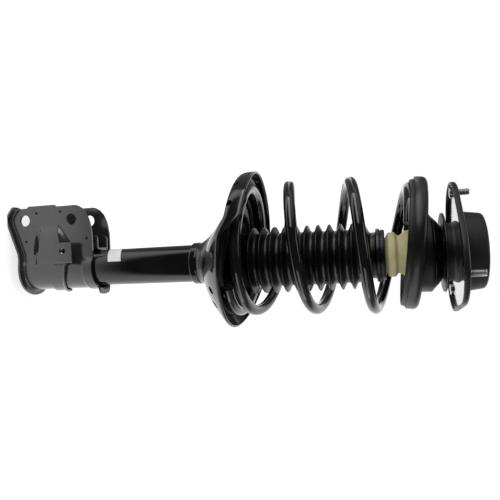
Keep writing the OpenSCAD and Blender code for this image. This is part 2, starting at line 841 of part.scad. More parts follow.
// Lower seat: 1 on the high side of the bowl, 0 where the coil's tip lies
step_angle = 80;
step_half = 10;
rise_angle = 225;
rise_half = 45;
function high(a) =
    1 - smooth((a - step_angle + step_half) / (2 * step_half))
    + smooth((a - rise_angle + rise_half) / (2 * rise_half));
function mix(low, top, a) = low + (top - low) * high(a);

// Underside of the bowl at angle a: [radius, height over the coil's underside], q runs from 0 to 1
function bowl_drop(q, a) = mix(1 - pow(q, 1.6), pow(1 - q, 1.3), a);
function bowl_under(q, a) = [
    collar_r + (bowl_r - collar_r) * q,
    mix(edge_low, edge_high, a) - (mix(edge_low, edge_high, a) + seat_depth) * bowl_drop(q, a)
];
function bowl_slope(q, a) =
    let (d = bowl_under(min(q + 0.02, 1), a) - bowl_under(max(q - 0.02, 0), a))
    d / norm(d);
function bowl_inside(q, a) =
    let (d = bowl_slope(q, a))
    bowl_under(q, a) + bowl_t * [-d[1], d[0]];

// Share of the seat's offset and tilt that a ring of the bowl takes
function lean(q) = smooth(q / 0.45);
function leaned(p, q, a) = [
    lower_off * lean(q) + p[0] * cos(a),
    p[0] * sin(a),
    pad_z + p[1] + lean(q) * p[0] * cos(a) * tan(lower_tilt)
];
bowl_steps = 9;
bowl_sides = 72;
bowl_bore_r = tube_r - 2;
bowl_lap = 0.8;
function bowl_section(a) = concat(
    [leaned([bowl_bore_r, -seat_depth], 0, a)],
    [leaned([collar_r - bowl_lap, -seat_depth], 0, a)],
    [for (i = [1:bowl_steps]) leaned(bowl_under(i / bowl_steps, a), i / bowl_steps, a)],
    [leaned([bowl_r, mix(rim_low, rim_high, a)], 1, a)],
    [leaned([bowl_r - bowl_t, mix(rim_low, rim_high, a)], 1, a)],
    [for (i = [bowl_steps:-1:0]) leaned(bowl_inside(i / bowl_steps, a), i / bowl_steps, a)],
    [leaned([bowl_bore_r, -seat_depth + bowl_t], 0, a)]
);

// Closed ring through equal sections
module looped(sections) {
    n = len(sections);
    m = len(sections[0]);
    polyhedron(
        points = [for (section = sections) each section],
        faces = [for (i = [0:n - 1], k = [0:m - 1])
            let (a = m * i, b = m * ((i + 1) % n), l = (k + 1) % m)
            each [[a + k, a + l, b + k], [a + l, b + l, b + k]]]
    );
}

// Drain holes: [angle from +X towards +Y, height over the coil's underside]
drains = [[36, 8.3], [57, 8.8], [123, -9.4], [138, -7.8], [315, 9]];

module lower_spring_seat() {
    color(black) difference() {
        union() {
            looped([for (i = [0:bowl_sides - 1]) bowl_section(360 * i / bowl_sides)]);
            translate([0, 0, collar_z]) cylinder(r = collar_r, h = collar_h + bowl_t / 2);
        }
        translate([0, 0, collar_z - cut]) cylinder(r = tube_r + fit, h = 200);
        for (d = drains)
            translate([lower_off, 0, pad_z + d[1] + bowl_r * cos(d[0]) * tan(lower_tilt)])
                rotate([0, 90, d[0]]) translate([0, 0, bowl_r - 26]) cylinder(d = drain_d, h = 40);
    }
}

// Rubber under the spring: its top climbs with the wire and steps down behind the tip
pad_steps = 5;
pad_out_r = bowl_r - pad_inset;
pad_in_r = pad_out_r - pad_w;
function pad_top(a) =
    let (b = a < tip_angle ? a + 360 : a, last = step_angle + 350)
    end_pitch * (min(b, last) - tip_angle) / 360 * (1 - smooth((b - last) / (tip_angle + 360 - last)));
function pad_under(r, a) =
    let (q = (r - collar_r) / (bowl_r - collar_r), d = bowl_slope(q, a))
    bowl_under(q, a)[1] + bowl_t / d[0] + pad_gap;
function pad_section(a) = [
    for (i = [0:pad_steps])
        let (r = pad_in_r + pad_w * i / pad_steps)
        leaned([r, pad_under(r, a)], 1, a),
    leaned([pad_out_r, pad_top(a)], 1, a),
    leaned([pad_in_r, pad_top(a)], 1, a)
];
module lower_insulator() {
    color(rubber) looped([for (i = [0:bowl_sides - 1]) pad_section(360 * i / bowl_sides)]);
}

// Side outline of an ear, as [x, z] corners with a rounding each
ear_corners = [
    [ear_foot_x, wrap_low_z, 0],
    [ear_foot_x + 12, wrap_low_z - 3, 8],
    [bolt_hole_x + 3, ear_low_z, 9],
    [ear_reach, ear_low_z + 10, 4],
    [ear_reach, bolt_zs[1] + 5, 1.5],
    [ear_reach + ear_tab_h, bolt_zs[1] + 8, 1.5],
    [ear_reach + ear_tab_h, bolt_zs[0] - 24, 1.5],
    [ear_reach, bolt_zs[0] - 21, 1.5],
    [ear_reach, bolt_zs[0] + 15, 8],
    [bolt_hole_x - 3, bracket_z, 22],
    [ear_foot_x, bracket_z, 0]
];

// Plate with the ear's outline between two levels along Y
module ear_plate(low, high) {
    translate([0, high, 0]) rotate([90, 0, 0]) linear_extrude(high - low) children();
}

module ear_shape() {
    polygon(rounded(ear_corners));
}

// Pressed rib between the bolt holes: narrow and flush at its tip, wide and proud at its foot
module ear_rib(grow = 0) {
    foot_x = ear_foot_x - 3 - grow;
    tip_x = bolt_hole_x - 7;
    mid_z = (bolt_zs[0] + bolt_zs[1]) / 2;
    sunk = ear_y - 1;
    crest = 0.55;
    function pair(x, y, w) = [[x, y, mid_z - w / 2 - grow], [x, y, mid_z + w / 2 + grow]];
    quads = [[0, 1, 3, 2], [4, 6, 7, 5], [0, 4, 5, 1], [2, 3, 7, 6], [0, 2, 6, 4], [1, 5, 7, 3]];
    polyhedron(
        points = concat(
            pair(foot_x, sunk, ear_rib_foot_w),
            pair(tip_x, sunk, ear_rib_w),
            pair(foot_x, ear_y + ear_rib_h + grow, ear_rib_foot_w * crest),
            pair(tip_x - 4, ear_y + 0.6 + grow, ear_rib_w * crest)
        ),
        faces = [for (f = quads) each [[f[0], f[1], f[2]], [f[0], f[2], f[3]]]]
    );
}

// One ear with its turned-out lips, on the +Y side
module ear() {
    ear_plate(ear_in_y, ear_y) ear_shape();
    ear_plate(ear_y - cut, ear_y + lip_h) difference() {
        ear_shape();
        translate([0, sheet_t]) ear_shape();
        translate([0, bracket_z - 60]) square([200, 100]);
    }
    ear_rib();
}

// Part of a ring on the wrap's side of the ears
module wrap_part(r, bore, low, high) {
    intersection() {
        ring(r, bore, low, high);
        translate([-100, -100, low]) cube([100 + ear_foot_x, 200, high - low]);
    }
}

// Tooling holes: distance from the strut's axis, drop from the bracket's upper end
dots = [[77, 82.5], [77, 46], [39.5, 100], [39.5, 8]];

module knuckle_bracket() {
    color(satin) difference() {
        union() {
            wrap_part(wrap_r, wrap_in_r, wrap_low_z, bracket_z);
            wrap_part(wrap_r + lip_h, wrap_in_r, wrap_low_z, wrap_low_z + sheet_t);
            wrap_part(wrap_r + band_rise, wrap_in_r, bracket_z - band_w, bracket_z);
            sector(
                wrap_r + top_lip_h, wrap_in_r, bracket_z - sheet_t, bracket_z,
                180 - top_lip_half, 180 + top_lip_half
            );
            ear();
            mirror([0, 1, 0]) ear();
        }
        for (i = [0, 1]) translate([bolt_xs[i], 100, bolt_zs[i]]) rotate([90, 0, 0])
            cylinder(d = bolt_hole_d, h = 200);
        for (d = dots) translate([d[0], 100, bracket_z - d[1]]) rotate([90, 0, 0])
            cylinder(d = dot_d, h = 200);
        translate([0, 0, ear_low_z - cut]) cylinder(r = wrap_in_r, h = 300);
    }
}

module bracket_gusset() {
    web_x = tube_r + fit;
    half = gusset_w / 2;
    low = wrap_low_z + sheet_t;
    high = bracket_z + gusset_past;
    chamfer = 5;
    color(satin) {
        translate([web_x, -half, low]) cube([gusset_t, 2 * half, high - low]);
        for (side = [0, 1]) mirror([0, side, 0]) ear_plate(half - gusset_t, half) polygon([
            [web_x, low], [gusset_reach - chamfer, low], [gusset_reach, low + chamfer],
            [gusset_reach, high - 2 * chamfer], [gusset_reach - chamfer, high], [web_x, high]
        ]);
    }
}

// Sector of a ring between two angles, up to half a turn
module sector(r, bore, low, high, from, to) {
    intersection() {
        ring(r, bore, low, high);
        rotate(from) translate([-span / 2, 0, low]) cube([span, span / 2, high - low]);
        rotate(to) translate([-span / 2, -span / 2, low]) cube([span, span / 2, high - low]);
    }
}

module hose_bracket() {
    strap_from = 62;
    strap_to = 190;
    tab_low_x = tab_x - tab_w / 2;
    color(satin) difference() {
        union() {
            sector(strap_r, strap_in_r, strap_z, strap_z + strap_w, strap_from, strap_to);
            translate([tab_low_x, strap_in_r - strap_lap, strap_z])
                cube([tab_t, tab_y + tab_t - strap_in_r + strap_lap, strap_w]);
            ear_plate(tab_y, tab_y + tab_t) polygon(rounded([
                [tab_low_x, tab_z - tab_w / 2, 0], [tab_low_x + tab_w, tab_z - tab_w / 2, tab_corner_r],
                [tab_low_x + tab_w, tab_z + tab_w / 2, tab_corner_r],
                [tab_low_x, tab_z + tab_w / 2, tab_corner_r]
            ]));
        }
        translate([tab_hole_x, tab_y + span / 2, tab_z]) rotate([90, 0, 0])
            cylinder(d = tab_hole_d, h = span / 2 + cut);
        translate([0, 0, strap_z - cut]) cylinder(r = strap_in_r, h = tab_w + strap_slip + 2 * cut);
        ear_rib(2 * fit);
    }
}

module hose_nut() {
    flats = hose_thread_d + 6;
    color(zinc) translate([tab_hole_x, tab_y, tab_z]) rotate([90, 0, 0]) difference() {
        hexagon(flats, 0, hose_nut_h);
        translate([0, 0, -cut]) cylinder(d = hose_thread_d, h = hose_nut_h + 2 * cut);
    }
}

mount_plate();
mount_studs();
mount_cup();
mount_bushing();
mount_core();
rebound_plate();
bearing_outer_race();
bearing_circlip();
bearing_balls();
bearing_cage();
bearing_inner_race();
rod_nut();
rod_washer();
bearing_spacer();
seat_seal();
upper_spring_seat();
upper_insulator();
coil_spring();
bump_stop();
dust_boot();
piston_rod();
rebound_stop();
piston();
piston_band();
piston_nut();
strut_tube();
bump_cap();
oil_seal();
rod_guide();
guide_bush();
inner_cylinder();
base_valve();
base_cap();
lower_spring_seat();
lower_insulator();
knuckle_bracket();
bracket_gusset();
hose_bracket();
hose_nut();
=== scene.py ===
import bmesh
import bpy
import json
from math import acos, atan2, cos, degrees, radians, sin, sqrt, tan
from mathutils import Matrix, Vector


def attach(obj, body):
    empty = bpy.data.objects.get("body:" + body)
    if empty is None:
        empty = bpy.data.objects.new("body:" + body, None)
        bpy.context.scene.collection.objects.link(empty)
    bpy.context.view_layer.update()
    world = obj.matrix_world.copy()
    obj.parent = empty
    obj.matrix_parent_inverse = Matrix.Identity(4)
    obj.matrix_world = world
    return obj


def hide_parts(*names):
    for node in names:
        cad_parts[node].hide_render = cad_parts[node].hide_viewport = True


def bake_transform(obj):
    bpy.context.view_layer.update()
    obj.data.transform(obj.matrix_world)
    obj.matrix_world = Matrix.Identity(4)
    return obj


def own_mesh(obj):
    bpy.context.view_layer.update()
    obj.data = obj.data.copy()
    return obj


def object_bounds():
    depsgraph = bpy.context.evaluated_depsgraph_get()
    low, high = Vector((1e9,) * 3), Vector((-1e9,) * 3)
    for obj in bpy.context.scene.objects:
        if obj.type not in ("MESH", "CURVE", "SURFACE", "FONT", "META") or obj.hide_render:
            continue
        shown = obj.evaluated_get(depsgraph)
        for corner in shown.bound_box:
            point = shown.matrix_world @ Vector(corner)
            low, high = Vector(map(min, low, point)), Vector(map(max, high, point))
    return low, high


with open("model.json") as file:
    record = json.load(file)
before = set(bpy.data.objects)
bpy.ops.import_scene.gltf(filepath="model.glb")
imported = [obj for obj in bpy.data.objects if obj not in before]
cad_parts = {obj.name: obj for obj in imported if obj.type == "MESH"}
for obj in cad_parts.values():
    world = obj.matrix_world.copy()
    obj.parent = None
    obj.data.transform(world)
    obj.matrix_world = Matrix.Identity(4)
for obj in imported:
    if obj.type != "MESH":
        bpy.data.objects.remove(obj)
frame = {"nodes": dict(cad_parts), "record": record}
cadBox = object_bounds()
scene = bpy.context.scene
scene.view_settings.view_transform = "Standard"
mm = 0.001  # shapes below are written in millimetres
print("frame loaded:", len(frame["nodes"]), "nodes")

# camera at the photograph's viewing angle
cameraSet = dict(
    place=(5.8, 619.6, -83.8),
    forward=(0.0122, -0.9681, -0.2501),
    up=(0.9988, 0.0, 0.0488),
    lens=36.86,
)


def addObject(name, data):
    thing = bpy.data.objects.new(name, data)
    scene.collection.objects.link(thing)
    return thing


def makeCamera(s):
    data = bpy.data.cameras.new("camera")
    data.lens = s["lens"]
    data.sensor_width = 36
    data.clip_start = 0.01
    camera = addObject("camera", data)
    forward = Vector(s["forward"]).normalized()
    right = forward.cross(Vector(s["up"])).normalized()
    turn = Matrix((right, right.cross(forward), -forward)).transposed()
    camera.matrix_world = Matrix.Translation(Vector(s["place"]) * mm) @ turn.to_4x4()
    scene.camera = camera


makeCamera(cameraSet)
print("camera set")


# small maths shared by the shapes

def smooth(x):
    x = min(max(x, 0.0), 1.0)
    return x * x * (3 - 2 * x)


# eased share of the way from low to high
def ease(x, low, high):
    return smooth((x - low) / (high - low))


def mix(low, high, share):
    return low + (high - low) * share


def polar(r, turn):
    return r * cos(radians(turn)), r * sin(radians(turn))


def arc(x, y, r, start, end, steps):
    spots = [polar(r, mix(start, end, k / steps)) for k in range(steps + 1)]
    return [(x + out, y + up) for out, up in spots]


# line of (x, y, radius) corners with each corner rounded
def rounded(corners, closed=True, steps=5):
    line = []
    count = len(corners)
    for i, corner in enumerate(corners):
        here = Vector(corner[:2])
        radius = corner[2] if len(corner) > 2 else 0
        if not radius or (not closed and i in (0, count - 1)):
            line.append(here)
            continue
        back = Vector(corners[i - 1][:2]) - here
        on = Vector(corners[(i + 1) % count][:2]) - here
        reach = 0.48 * min(back.length, on.length)
        back.normalize()
        on.normalize()
        half = back.angle(on) / 2
        if half > 1.55:
            line.append(here)
            continue
        step = min(radius / tan(half), reach)
        radius = step * tan(half)
        centre = here + (back + on).normalized() * (radius / sin(half))
        a = here + back * step - centre
        b = here + on * step - centre
        turn = atan2(a.x * b.y - a.y * b.x, a.dot(b))
        for k in range(steps + 1):
            line.append(centre + Matrix.Rotation(turn * k / steps, 2) @ a)
    return line


# height of a left-to-right line at x
def heightAt(line, x):
    for a, b in zip(line, line[1:]):
        if a.x <= x <= b.x and b.x > a.x:
            return mix(a.y, b.y, (x - a.x) / (b.x - a.x))
    return line[-1].y if x > line[-1].x else line[0].y


# the same line with its points closer together, without the last one
def resample(path, step):
    fine = []
    for a, b in zip(path, path[1:]):
        count = max(1, int((b - a).length / step))
        fine += [a.lerp(b, k / count) for k in range(count)]
    return fine


# mesh making

def makePiece(name, points, faces, sharp=38):
    mesh = bpy.data.meshes.new(name)
    mesh.from_pydata([Vector(p) * mm for p in points], [], faces)
    tidyMesh(mesh, sharp)
    return addObject(name, mesh)


def tidyMesh(mesh, sharp):
    work = bmesh.new()
    work.from_mesh(mesh)
    bmesh.ops.remove_doubles(work, verts=work.verts, dist=1e-6)
    bmesh.ops.dissolve_degenerate(work, edges=work.edges, dist=1e-6)
    bmesh.ops.recalc_face_normals(work, faces=work.faces)
    for face in work.faces:
        face.smooth = True
    work.to_mesh(mesh)
    work.free()
    mesh.set_sharp_from_angle(angle=radians(sharp))


# skin over equal closed sections: a closed ring, or a run with capped ends
def loft(name, sections, sharp=38, closed=True):
    count, size = len(sections), len(sections[0])
    points = [p for section in sections for p in section]
    faces = []
    for i in range(count if closed else count - 1):
        a, b = i * size, (i + 1) % count * size
        for k in range(size):
            n = (k + 1) % size
            faces.append((a + k, a + n, b + n, b + k))
    if not closed:
        faces += [tuple(reversed(range(size))), tuple(range((count - 1) * size, count * size))]
    return makePiece(name, points, faces, sharp)


# turned piece from a closed line of (radius, z, rounding) corners
def lathe(name, corners, steps=5, sides=96, sharp=38, place=None):
    line = rounded(corners, steps=steps)
    sections = []
    for i in range(sides):
        section = [Vector((*polar(p.x, 360 * i / sides), p.y)) for p in line]
        sections.append([place @ p for p in section] if place else section)
    return loft(name, sections, sharp)


# sheet from a grid of outer points, given its thickness inwards
def sheet(name, grid, outward, thick, sharp=38, nose=0.3):
    rows, cols = len(grid), len(grid[0])
    inner = []
    for i in range(rows):
        innerRow = []
        for k in range(cols):
            along = grid[min(i + 1, rows - 1)][k] - grid[max(i - 1, 0)][k]
            across = grid[i][min(k + 1, cols - 1)] - grid[i][max(k - 1, 0)]
            normal = along.cross(across)
            if normal.length < 1e-9:
                normal = outward[i][k].copy()
            normal.normalize()
            if normal.dot(outward[i][k]) < -0.2:
                normal.negate()
            innerRow.append(grid[i][k] - normal * thick)
        inner.append(innerRow)
    points = [p for row in grid + inner for p in row]
    base = rows * cols
    faces = []
    for i in range(rows - 1):
        for k in range(cols - 1):
            q = (i * cols + k, i * cols + k + 1, (i + 1) * cols + k + 1, (i + 1) * cols + k)
            faces += [q, tuple(base + v for v in reversed(q))]
    rim = [(0, k) for k in range(cols)] + [(i, cols - 1) for i in range(1, rows)]
    rim += [(rows - 1, k) for k in range(cols - 2, -1, -1)] + [(i, 0) for i in range(rows - 2, 0, -1)]
    middle = len(points)
    for i, k in rim:  # rounded nose along the sheet's edge
        away = Vector((0, 0, 0))
        if i == 0 or i == rows - 1:
            away += grid[i][k] - grid[1 if i == 0 else rows - 2][k]
        if k == 0 or k == cols - 1:
            away += grid[i][k] - grid[i][1 if k == 0 else cols - 2]
        points.append((grid[i][k] + inner[i][k]) / 2 + away.normalized() * nose)
    for j, (i, k) in enumerate(rim):
        h = (j + 1) % len(rim)
        a, b = i * cols + k, rim[h][0] * cols + rim[h][1]
        faces += [(a, b, middle + h, middle + j), (middle + j, middle + h, base + b, base + a)]
    return makePiece(name, points, faces, sharp)


# round cutter for holes
def peg(place, axis, diameter, length):
    mesh = bpy.data.meshes.new("peg")
    work = bmesh.new()
    bmesh.ops.create_cone(work, cap_ends=True, segments=48, radius1=diameter / 2 * mm,
                          radius2=diameter / 2 * mm, depth=length * mm)
    work.to_mesh(mesh)
    work.free()
    tool = addObject("peg", mesh)
    turn = Vector(axis).to_track_quat("Z", "Y").to_matrix().to_4x4()
    tool.matrix_world = Matrix.Translation(Vector(place) * mm) @ turn
    return tool


def cutHoles(piece, pegs, sharp=38):
    for tool in pegs:
        hole = piece.modifiers.new("hole", "BOOLEAN")
        hole.object = tool
        hole.operation = "DIFFERENCE"
        hole.solver = "EXACT"
    graph = bpy.context.evaluated_depsgraph_get()
    mesh = bpy.data.meshes.new_from_object(piece.evaluated_get(graph))
    piece.modifiers.clear()
    piece.data = mesh
    mesh.name = piece.name
    mesh.set_sharp_from_angle(angle=radians(sharp))
    for tool in pegs:
        bpy.data.objects.remove(tool)
    return piece


# outside thread between two levels, with a chamfered tip
def threadedRod(name, place, diameter, pitch, low, high, depth=0.6, sides=36, rowsPerTurn=6):
    rows = int((high - low) / pitch * rowsPerTurn)
    sections = []
    for i in range(rows + 1):
        z = mix(low, high, i / rows)
        ring = []
        for k in range(sides):
            turn = (z / pitch - k / sides) % 1
            r = diameter / 2 - depth * abs(2 * turn - 1)
            r = min(r, diameter / 2 - 1.0 + max(0, high - z))
            ring.append(Vector(place) + Vector((*polar(r, 360 * k / sides), z)))
        sections.append(ring)
    return loft(name, sections, 60, closed=False)


# hexagon nut with chamfered corners and an optional round flange
def hexNut(name, place, flats, bore, height, flange=0, flangeH=2):
    sections = []
    sides = 96
    for i in range(sides):
        turn = 360 * i / sides
        corner = flats / 2 / cos(radians((turn + 30) % 60 - 30))
        drop = (corner - flats / 2) * 0.6 + 0.25
        line = [(bore / 2, 0.6), (bore / 2 + 0.6, 0)]
        if flange:
            line += [(flange / 2, 0), (flange / 2, 0.8), (corner + 0.5, flangeH), (corner, flangeH + 0.4)]
        else:
            line += [(corner - drop, 0), (corner, drop), (corner, drop + 0.4)]
        line += [(corner, height - drop), (corner - drop * 1.3, height), (bore / 2 + 0.8, height),
                 (bore / 2, height - 0.8)]
        sections.append([place @ Vector((*polar(r, turn), z)) for r, z in line])
    return loft(name, sections, 25)


# shader node groups shared by the finishes

def newGroup(name, inputs, outputs):
    group = bpy.data.node_groups.new(name, "ShaderNodeTree")
    for label, value in inputs.items():
        socket = group.interface.new_socket(label, in_out="INPUT", socket_type="NodeSocketFloat")
        socket.default_value = value
    for label in outputs:
        group.interface.new_socket(label, in_out="OUTPUT", socket_type="NodeSocketFloat")
    return group, group.nodes.new("NodeGroupInput").outputs, group.nodes.new("NodeGroupOutput").inputs


# sets a socket, or links it
def feed(tree, socket, value):
    if isinstance(value, bpy.types.NodeSocket):
        tree.links.new(value, socket)
    else:
        socket.default_value = value


def addNode(tree, kind, **values):
    node = tree.nodes.new(kind)
    for key, value in values.items():
        if hasattr(node, key):
            setattr(node, key, value)
        else:
            feed(tree, node.inputs[key], value)
    return node


def placeGroup(tree, group, values):
    return addNode(tree, "ShaderNodeGroup", node_tree=group, **values).outputs


def mapRange(tree, source, low, high, newLow, newHigh):
    node = addNode(tree, "ShaderNodeMapRange", interpolation_type="SMOOTHSTEP")
    for socket, value in zip(node.inputs, (source, low, high, newLow, newHigh)):
        feed(tree, socket, value)
    return node.outputs[0]


# one operation over two or more values
def calc(tree, operation, total, *others):
    for value in others:
        node = addNode(tree, "ShaderNodeMath", operation=operation)
        feed(tree, node.inputs[0], total)
        feed(tree, node.inputs[1], value)
        total = node.outputs[0]
    return total


def mixColour(tree, share, a, b):
    node = addNode(tree, "ShaderNodeMix", data_type="RGBA")
    for index, value in ((0, share), (6, a), (7, b)):
        feed(tree, node.inputs[index], (*value, 1.0) if isinstance(value, tuple) else value)
    return node.outputs[2]


# noise in the piece's own coordinates
def addNoise(tree, scale, stretch=(1.0, 1.0, 1.0), **values):
    place = addNode(tree, "ShaderNodeTexCoord").outputs["Object"]
    place = addNode(tree, "ShaderNodeMapping", Vector=place, Scale=stretch).outputs["Vector"]
    return addNode(tree, "ShaderNodeTexNoise", Vector=place, Scale=scale, **values).outputs["Fac"]


# mask along outside edges, broken up by noise; these edges render lighter, partly as wear and partly as a
# painted edge highlight
def makeEdgeWearAndHighlight():
    group, given, out = newGroup("edgeWearAndHighlight", {"Amount": 0.3, "Scale": 300.0}, ["Mask"])
    noise = addNoise(group, given["Scale"], Detail=5.0, Roughness=0.65)
    shape = addNode(group, "ShaderNodeNewGeometry").outputs
    edge = mapRange(group, shape["Pointiness"], 0.53, 0.62, 0.0, 1.0)
    broken = mapRange(group, noise, 0.42, 0.62, 0.0, 1.0)
    feed(group, out["Mask"], calc(group, "MULTIPLY", edge, broken, given["Amount"]))
    return group


# cloudy tone, uneven gloss and a fine height for bump
def makeGrain():
    inputs = {"Scale": 400.0, "Cloud": 25.0, "Rough Low": 0.3, "Rough High": 0.5}
    group, given, out = newGroup("grain", inputs, ["Tone", "Roughness", "Height"])
    fine = addNoise(group, given["Scale"], Detail=4.0, Roughness=0.6)
    cloud = addNoise(group, given["Cloud"], Detail=6.0, Roughness=0.6)
    tone = calc(group, "ADD", calc(group, "MULTIPLY", fine, 0.35), calc(group, "MULTIPLY", cloud, 0.65))
    rough = mapRange(group, cloud, 0.34, 0.66, given["Rough Low"], given["Rough High"])
    feed(group, out["Tone"], mapRange(group, tone, 0.36, 0.66, 0.0, 1.0))
    feed(group, out["Roughness"], rough)
    feed(group, out["Height"], fine)
    return group


# fine turning marks round the strut's axis
def makeTurned():
    group, given, out = newGroup("turnedMarks", {"Scale": 900.0}, ["Height"])
    feed(group, out["Height"], addNoise(group, given["Scale"], (0.06, 0.06, 1.0), Detail=3.0))
    return group


edgeWearAndHighlight = makeEdgeWearAndHighlight()
grain = makeGrain()
turnedMarks = makeTurned()


def grey(tone):
    return (tone, tone, tone)


# the edge colour of each finish lightens outside edges: partly wear, partly a painted edge highlight
finishes = {
    "glossPaint": dict(colour=(0.0035, 0.0035, 0.004), pale=(0.0065, 0.0065, 0.007), rough=(0.08, 0.14),
        wearAndHighlightColour=grey(0.14), fine=500, cloud=30, bump=0.015, wearAndHighlight=0.10, coat=0.3, coatRough=0.05),
    "satinPaint": dict(colour=(0.014, 0.014, 0.0135), pale=(0.024, 0.024, 0.023), rough=(0.22, 0.30),
        wearAndHighlightColour=grey(0.30), fine=700, cloud=22, bump=0.04, wearAndHighlight=0.25, coat=1.0, coatRough=0.14),
    "springCoat": dict(colour=(0.0035, 0.0035, 0.004), pale=(0.007, 0.007, 0.0075), rough=(0.06, 0.11),
        wearAndHighlightColour=grey(0.10), fine=600, cloud=40, bump=0.02, wearAndHighlight=0.06, coat=0.4, coatRough=0.04),
    "mountCoat": dict(colour=(0.005, 0.005, 0.0055), pale=(0.010, 0.010, 0.0107), rough=(0.30, 0.42),
        wearAndHighlightColour=grey(0.08), cloud=26, bump=0.06),
    "mountRubber": dict(colour=(0.004, 0.004, 0.0043), pale=(0.0085, 0.0085, 0.009), rough=(0.40, 0.54),
        wearAndHighlightColour=grey(0.05), fine=1100, cloud=34, bump=0.10),
    "bootRubber": dict(colour=(0.0022, 0.0022, 0.0024), pale=(0.005, 0.005, 0.0054), rough=(0.26, 0.36),
        wearAndHighlightColour=grey(0.045), fine=1200, cloud=40, wearAndHighlight=0.35),
    "urethane": dict(colour=(0.52, 0.46, 0.23), pale=(0.62, 0.57, 0.33), rough=(0.50, 0.68),
        wearAndHighlightColour=(0.75, 0.71, 0.50), fine=1500, bump=0.12, wearAndHighlight=0.10),
    "zincPlate": dict(colour=(0.48, 0.50, 0.52), pale=(0.66, 0.68, 0.70), rough=(0.24, 0.38),
        wearAndHighlightColour=(0.85, 0.86, 0.88), fine=800, cloud=80, wearAndHighlight=0.25, metal=1.0),
    "dippedCoat": dict(colour=(0.012, 0.012, 0.013), pale=(0.03, 0.03, 0.031), rough=(0.05, 0.12),
        wearAndHighlightColour=grey(0.2), fine=90, bump=0.5, wearAndHighlight=0.1, coat=1.0, coatRough=0.06),
    "hardChrome": dict(colour=(0.62, 0.63, 0.64), pale=(0.70, 0.71, 0.72), rough=(0.06, 0.12),
        wearAndHighlightColour=grey(0.8), bump=0.02, wearAndHighlight=0.0, metal=1.0, turned=True),
    "bareSteel": dict(colour=(0.36, 0.36, 0.37), pale=(0.46, 0.46, 0.47), rough=(0.28, 0.42),
        wearAndHighlightColour=grey(0.6), bump=0.06, metal=1.0, turned=True),
    "bearingSteel": dict(colour=(0.50, 0.51, 0.52), pale=(0.60, 0.61, 0.62), rough=(0.14, 0.24),
        wearAndHighlightColour=grey(0.7), bump=0.03, wearAndHighlight=0.1, metal=1.0, turned=True),
    "sintered": dict(colour=(0.17, 0.17, 0.175), pale=(0.27, 0.27, 0.28), rough=(0.46, 0.62),
        wearAndHighlightColour=grey(0.45), fine=1600, cloud=90, bump=0.16, metal=0.85),
    "bronze": dict(colour=(0.42, 0.27, 0.12), pale=(0.58, 0.40, 0.20), rough=(0.30, 0.44),
        wearAndHighlightColour=(0.7, 0.55, 0.3), metal=1.0, turned=True),
    "sealRubber": dict(colour=grey(0.012), pale=grey(0.024), rough=(0.45, 0.6), wearAndHighlightColour=grey(0.08),
        fine=1200, cloud=50, bump=0.08),
    "labelPaper": dict(colour=(0.66, 0.66, 0.64), pale=(0.76, 0.76, 0.74), rough=(0.40, 0.52),
        wearAndHighlightColour=(0.5, 0.5, 0.48), fine=1800, cloud=70, bump=0.03),
}


# tone runs from colour to pale; outside edges take the lighter edge colour, partly wear and partly a painted
# edge highlight
def makeFinish(name, colour, pale, rough, wearAndHighlightColour, fine=900, cloud=60, bump=0.05, wearAndHighlight=0.2, coat=0.0,
               coatRough=0.3, metal=0.0, turned=False):
    material = bpy.data.materials.new(name)
    material.use_nodes = True
    tree = material.node_tree
    shader = tree.nodes["Principled BSDF"]
    low, high = rough
    skin = placeGroup(tree, grain, {"Scale": fine, "Cloud": cloud, "Rough Low": low, "Rough High": high})
    # outside edges lightened by the edge mask: partly wear, partly a painted edge highlight
    wornAndHighlit = placeGroup(tree, edgeWearAndHighlight, {"Amount": wearAndHighlight, "Scale": 260.0})
    tone = mixColour(tree, skin["Tone"], colour, pale)
    marks = placeGroup(tree, turnedMarks, {"Scale": 1400.0}) if turned else skin
    relief = addNode(tree, "ShaderNodeBump", Strength=bump, Distance=0.0006, Height=marks["Height"])
    values = {
        "Base Color": mixColour(tree, wornAndHighlit["Mask"], tone, wearAndHighlightColour), "Roughness": skin["Roughness"],
        "Metallic": metal, "Coat Weight": coat, "Coat Roughness": coatRough,
        "Normal": relief.outputs["Normal"],
    }
    for label, value in values.items():
        feed(tree, shader.inputs[label], value)
    return material


finish = {name: makeFinish(name, **s) for name, s in finishes.items()}
slotFinish = {
    "gloss_black": "glossPaint", "satin_black": "satinPaint", "spring_coat": "springCoat",
    "mount_coat": "mountCoat", "mount_rubber": "mountRubber", "boot_rubber": "bootRubber",
    "seal_rubber": "sealRubber", "urethane": "urethane", "zinc": "zincPlate",
    "hard_chrome": "hardChrome", "bare_steel": "bareSteel", "bearing_steel": "bearingSteel",
    "sintered": "sintered", "bush_bronze": "bronze",
}
for part in frame["record"]["subparts"]:
    node = frame["nodes"][part["node"]]
    node.data.materials.clear()
    node.data.materials.append(finish[slotFinish[part["material_slot"]]])
print("finishes made:", len(finish))


# gives a piece its finish, its body and the nodes that it stands for
def dress(piece, slot, body, *nodes, look=None):
    if not piece.data.materials:
        piece.data.materials.append(finish[look or slotFinish[slot]])
    if body:
        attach(piece, body)
    if nodes:
        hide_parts(*nodes)
    return piece


# coil spring: end coils lie on the seats, the last one draws in
springSet = dict(
    coilR=75, endR=62.9, draw=(1245, 1375), off=(14, 12.94), shift=(800, 1100),
    tilt=(5, 2.8, 6.5), leanOff=(480, 700), leanOn=(1100, 1370),
    pitch=71.5, endPitch=12, topPitch=12, open=480, close=1388, blend=60,
    tip=124, shown=1512, end=1620, topZ=-53.35,
    wireR=6.6, chamfer=0.8, sides=28, step=4,
)


# 0 below x 0 and x above, with a soft corner
def softRamp(x, blend):
    if x <= -blend:
        return 0
    return x if x >= blend else (x + blend) ** 2 / (4 * blend)


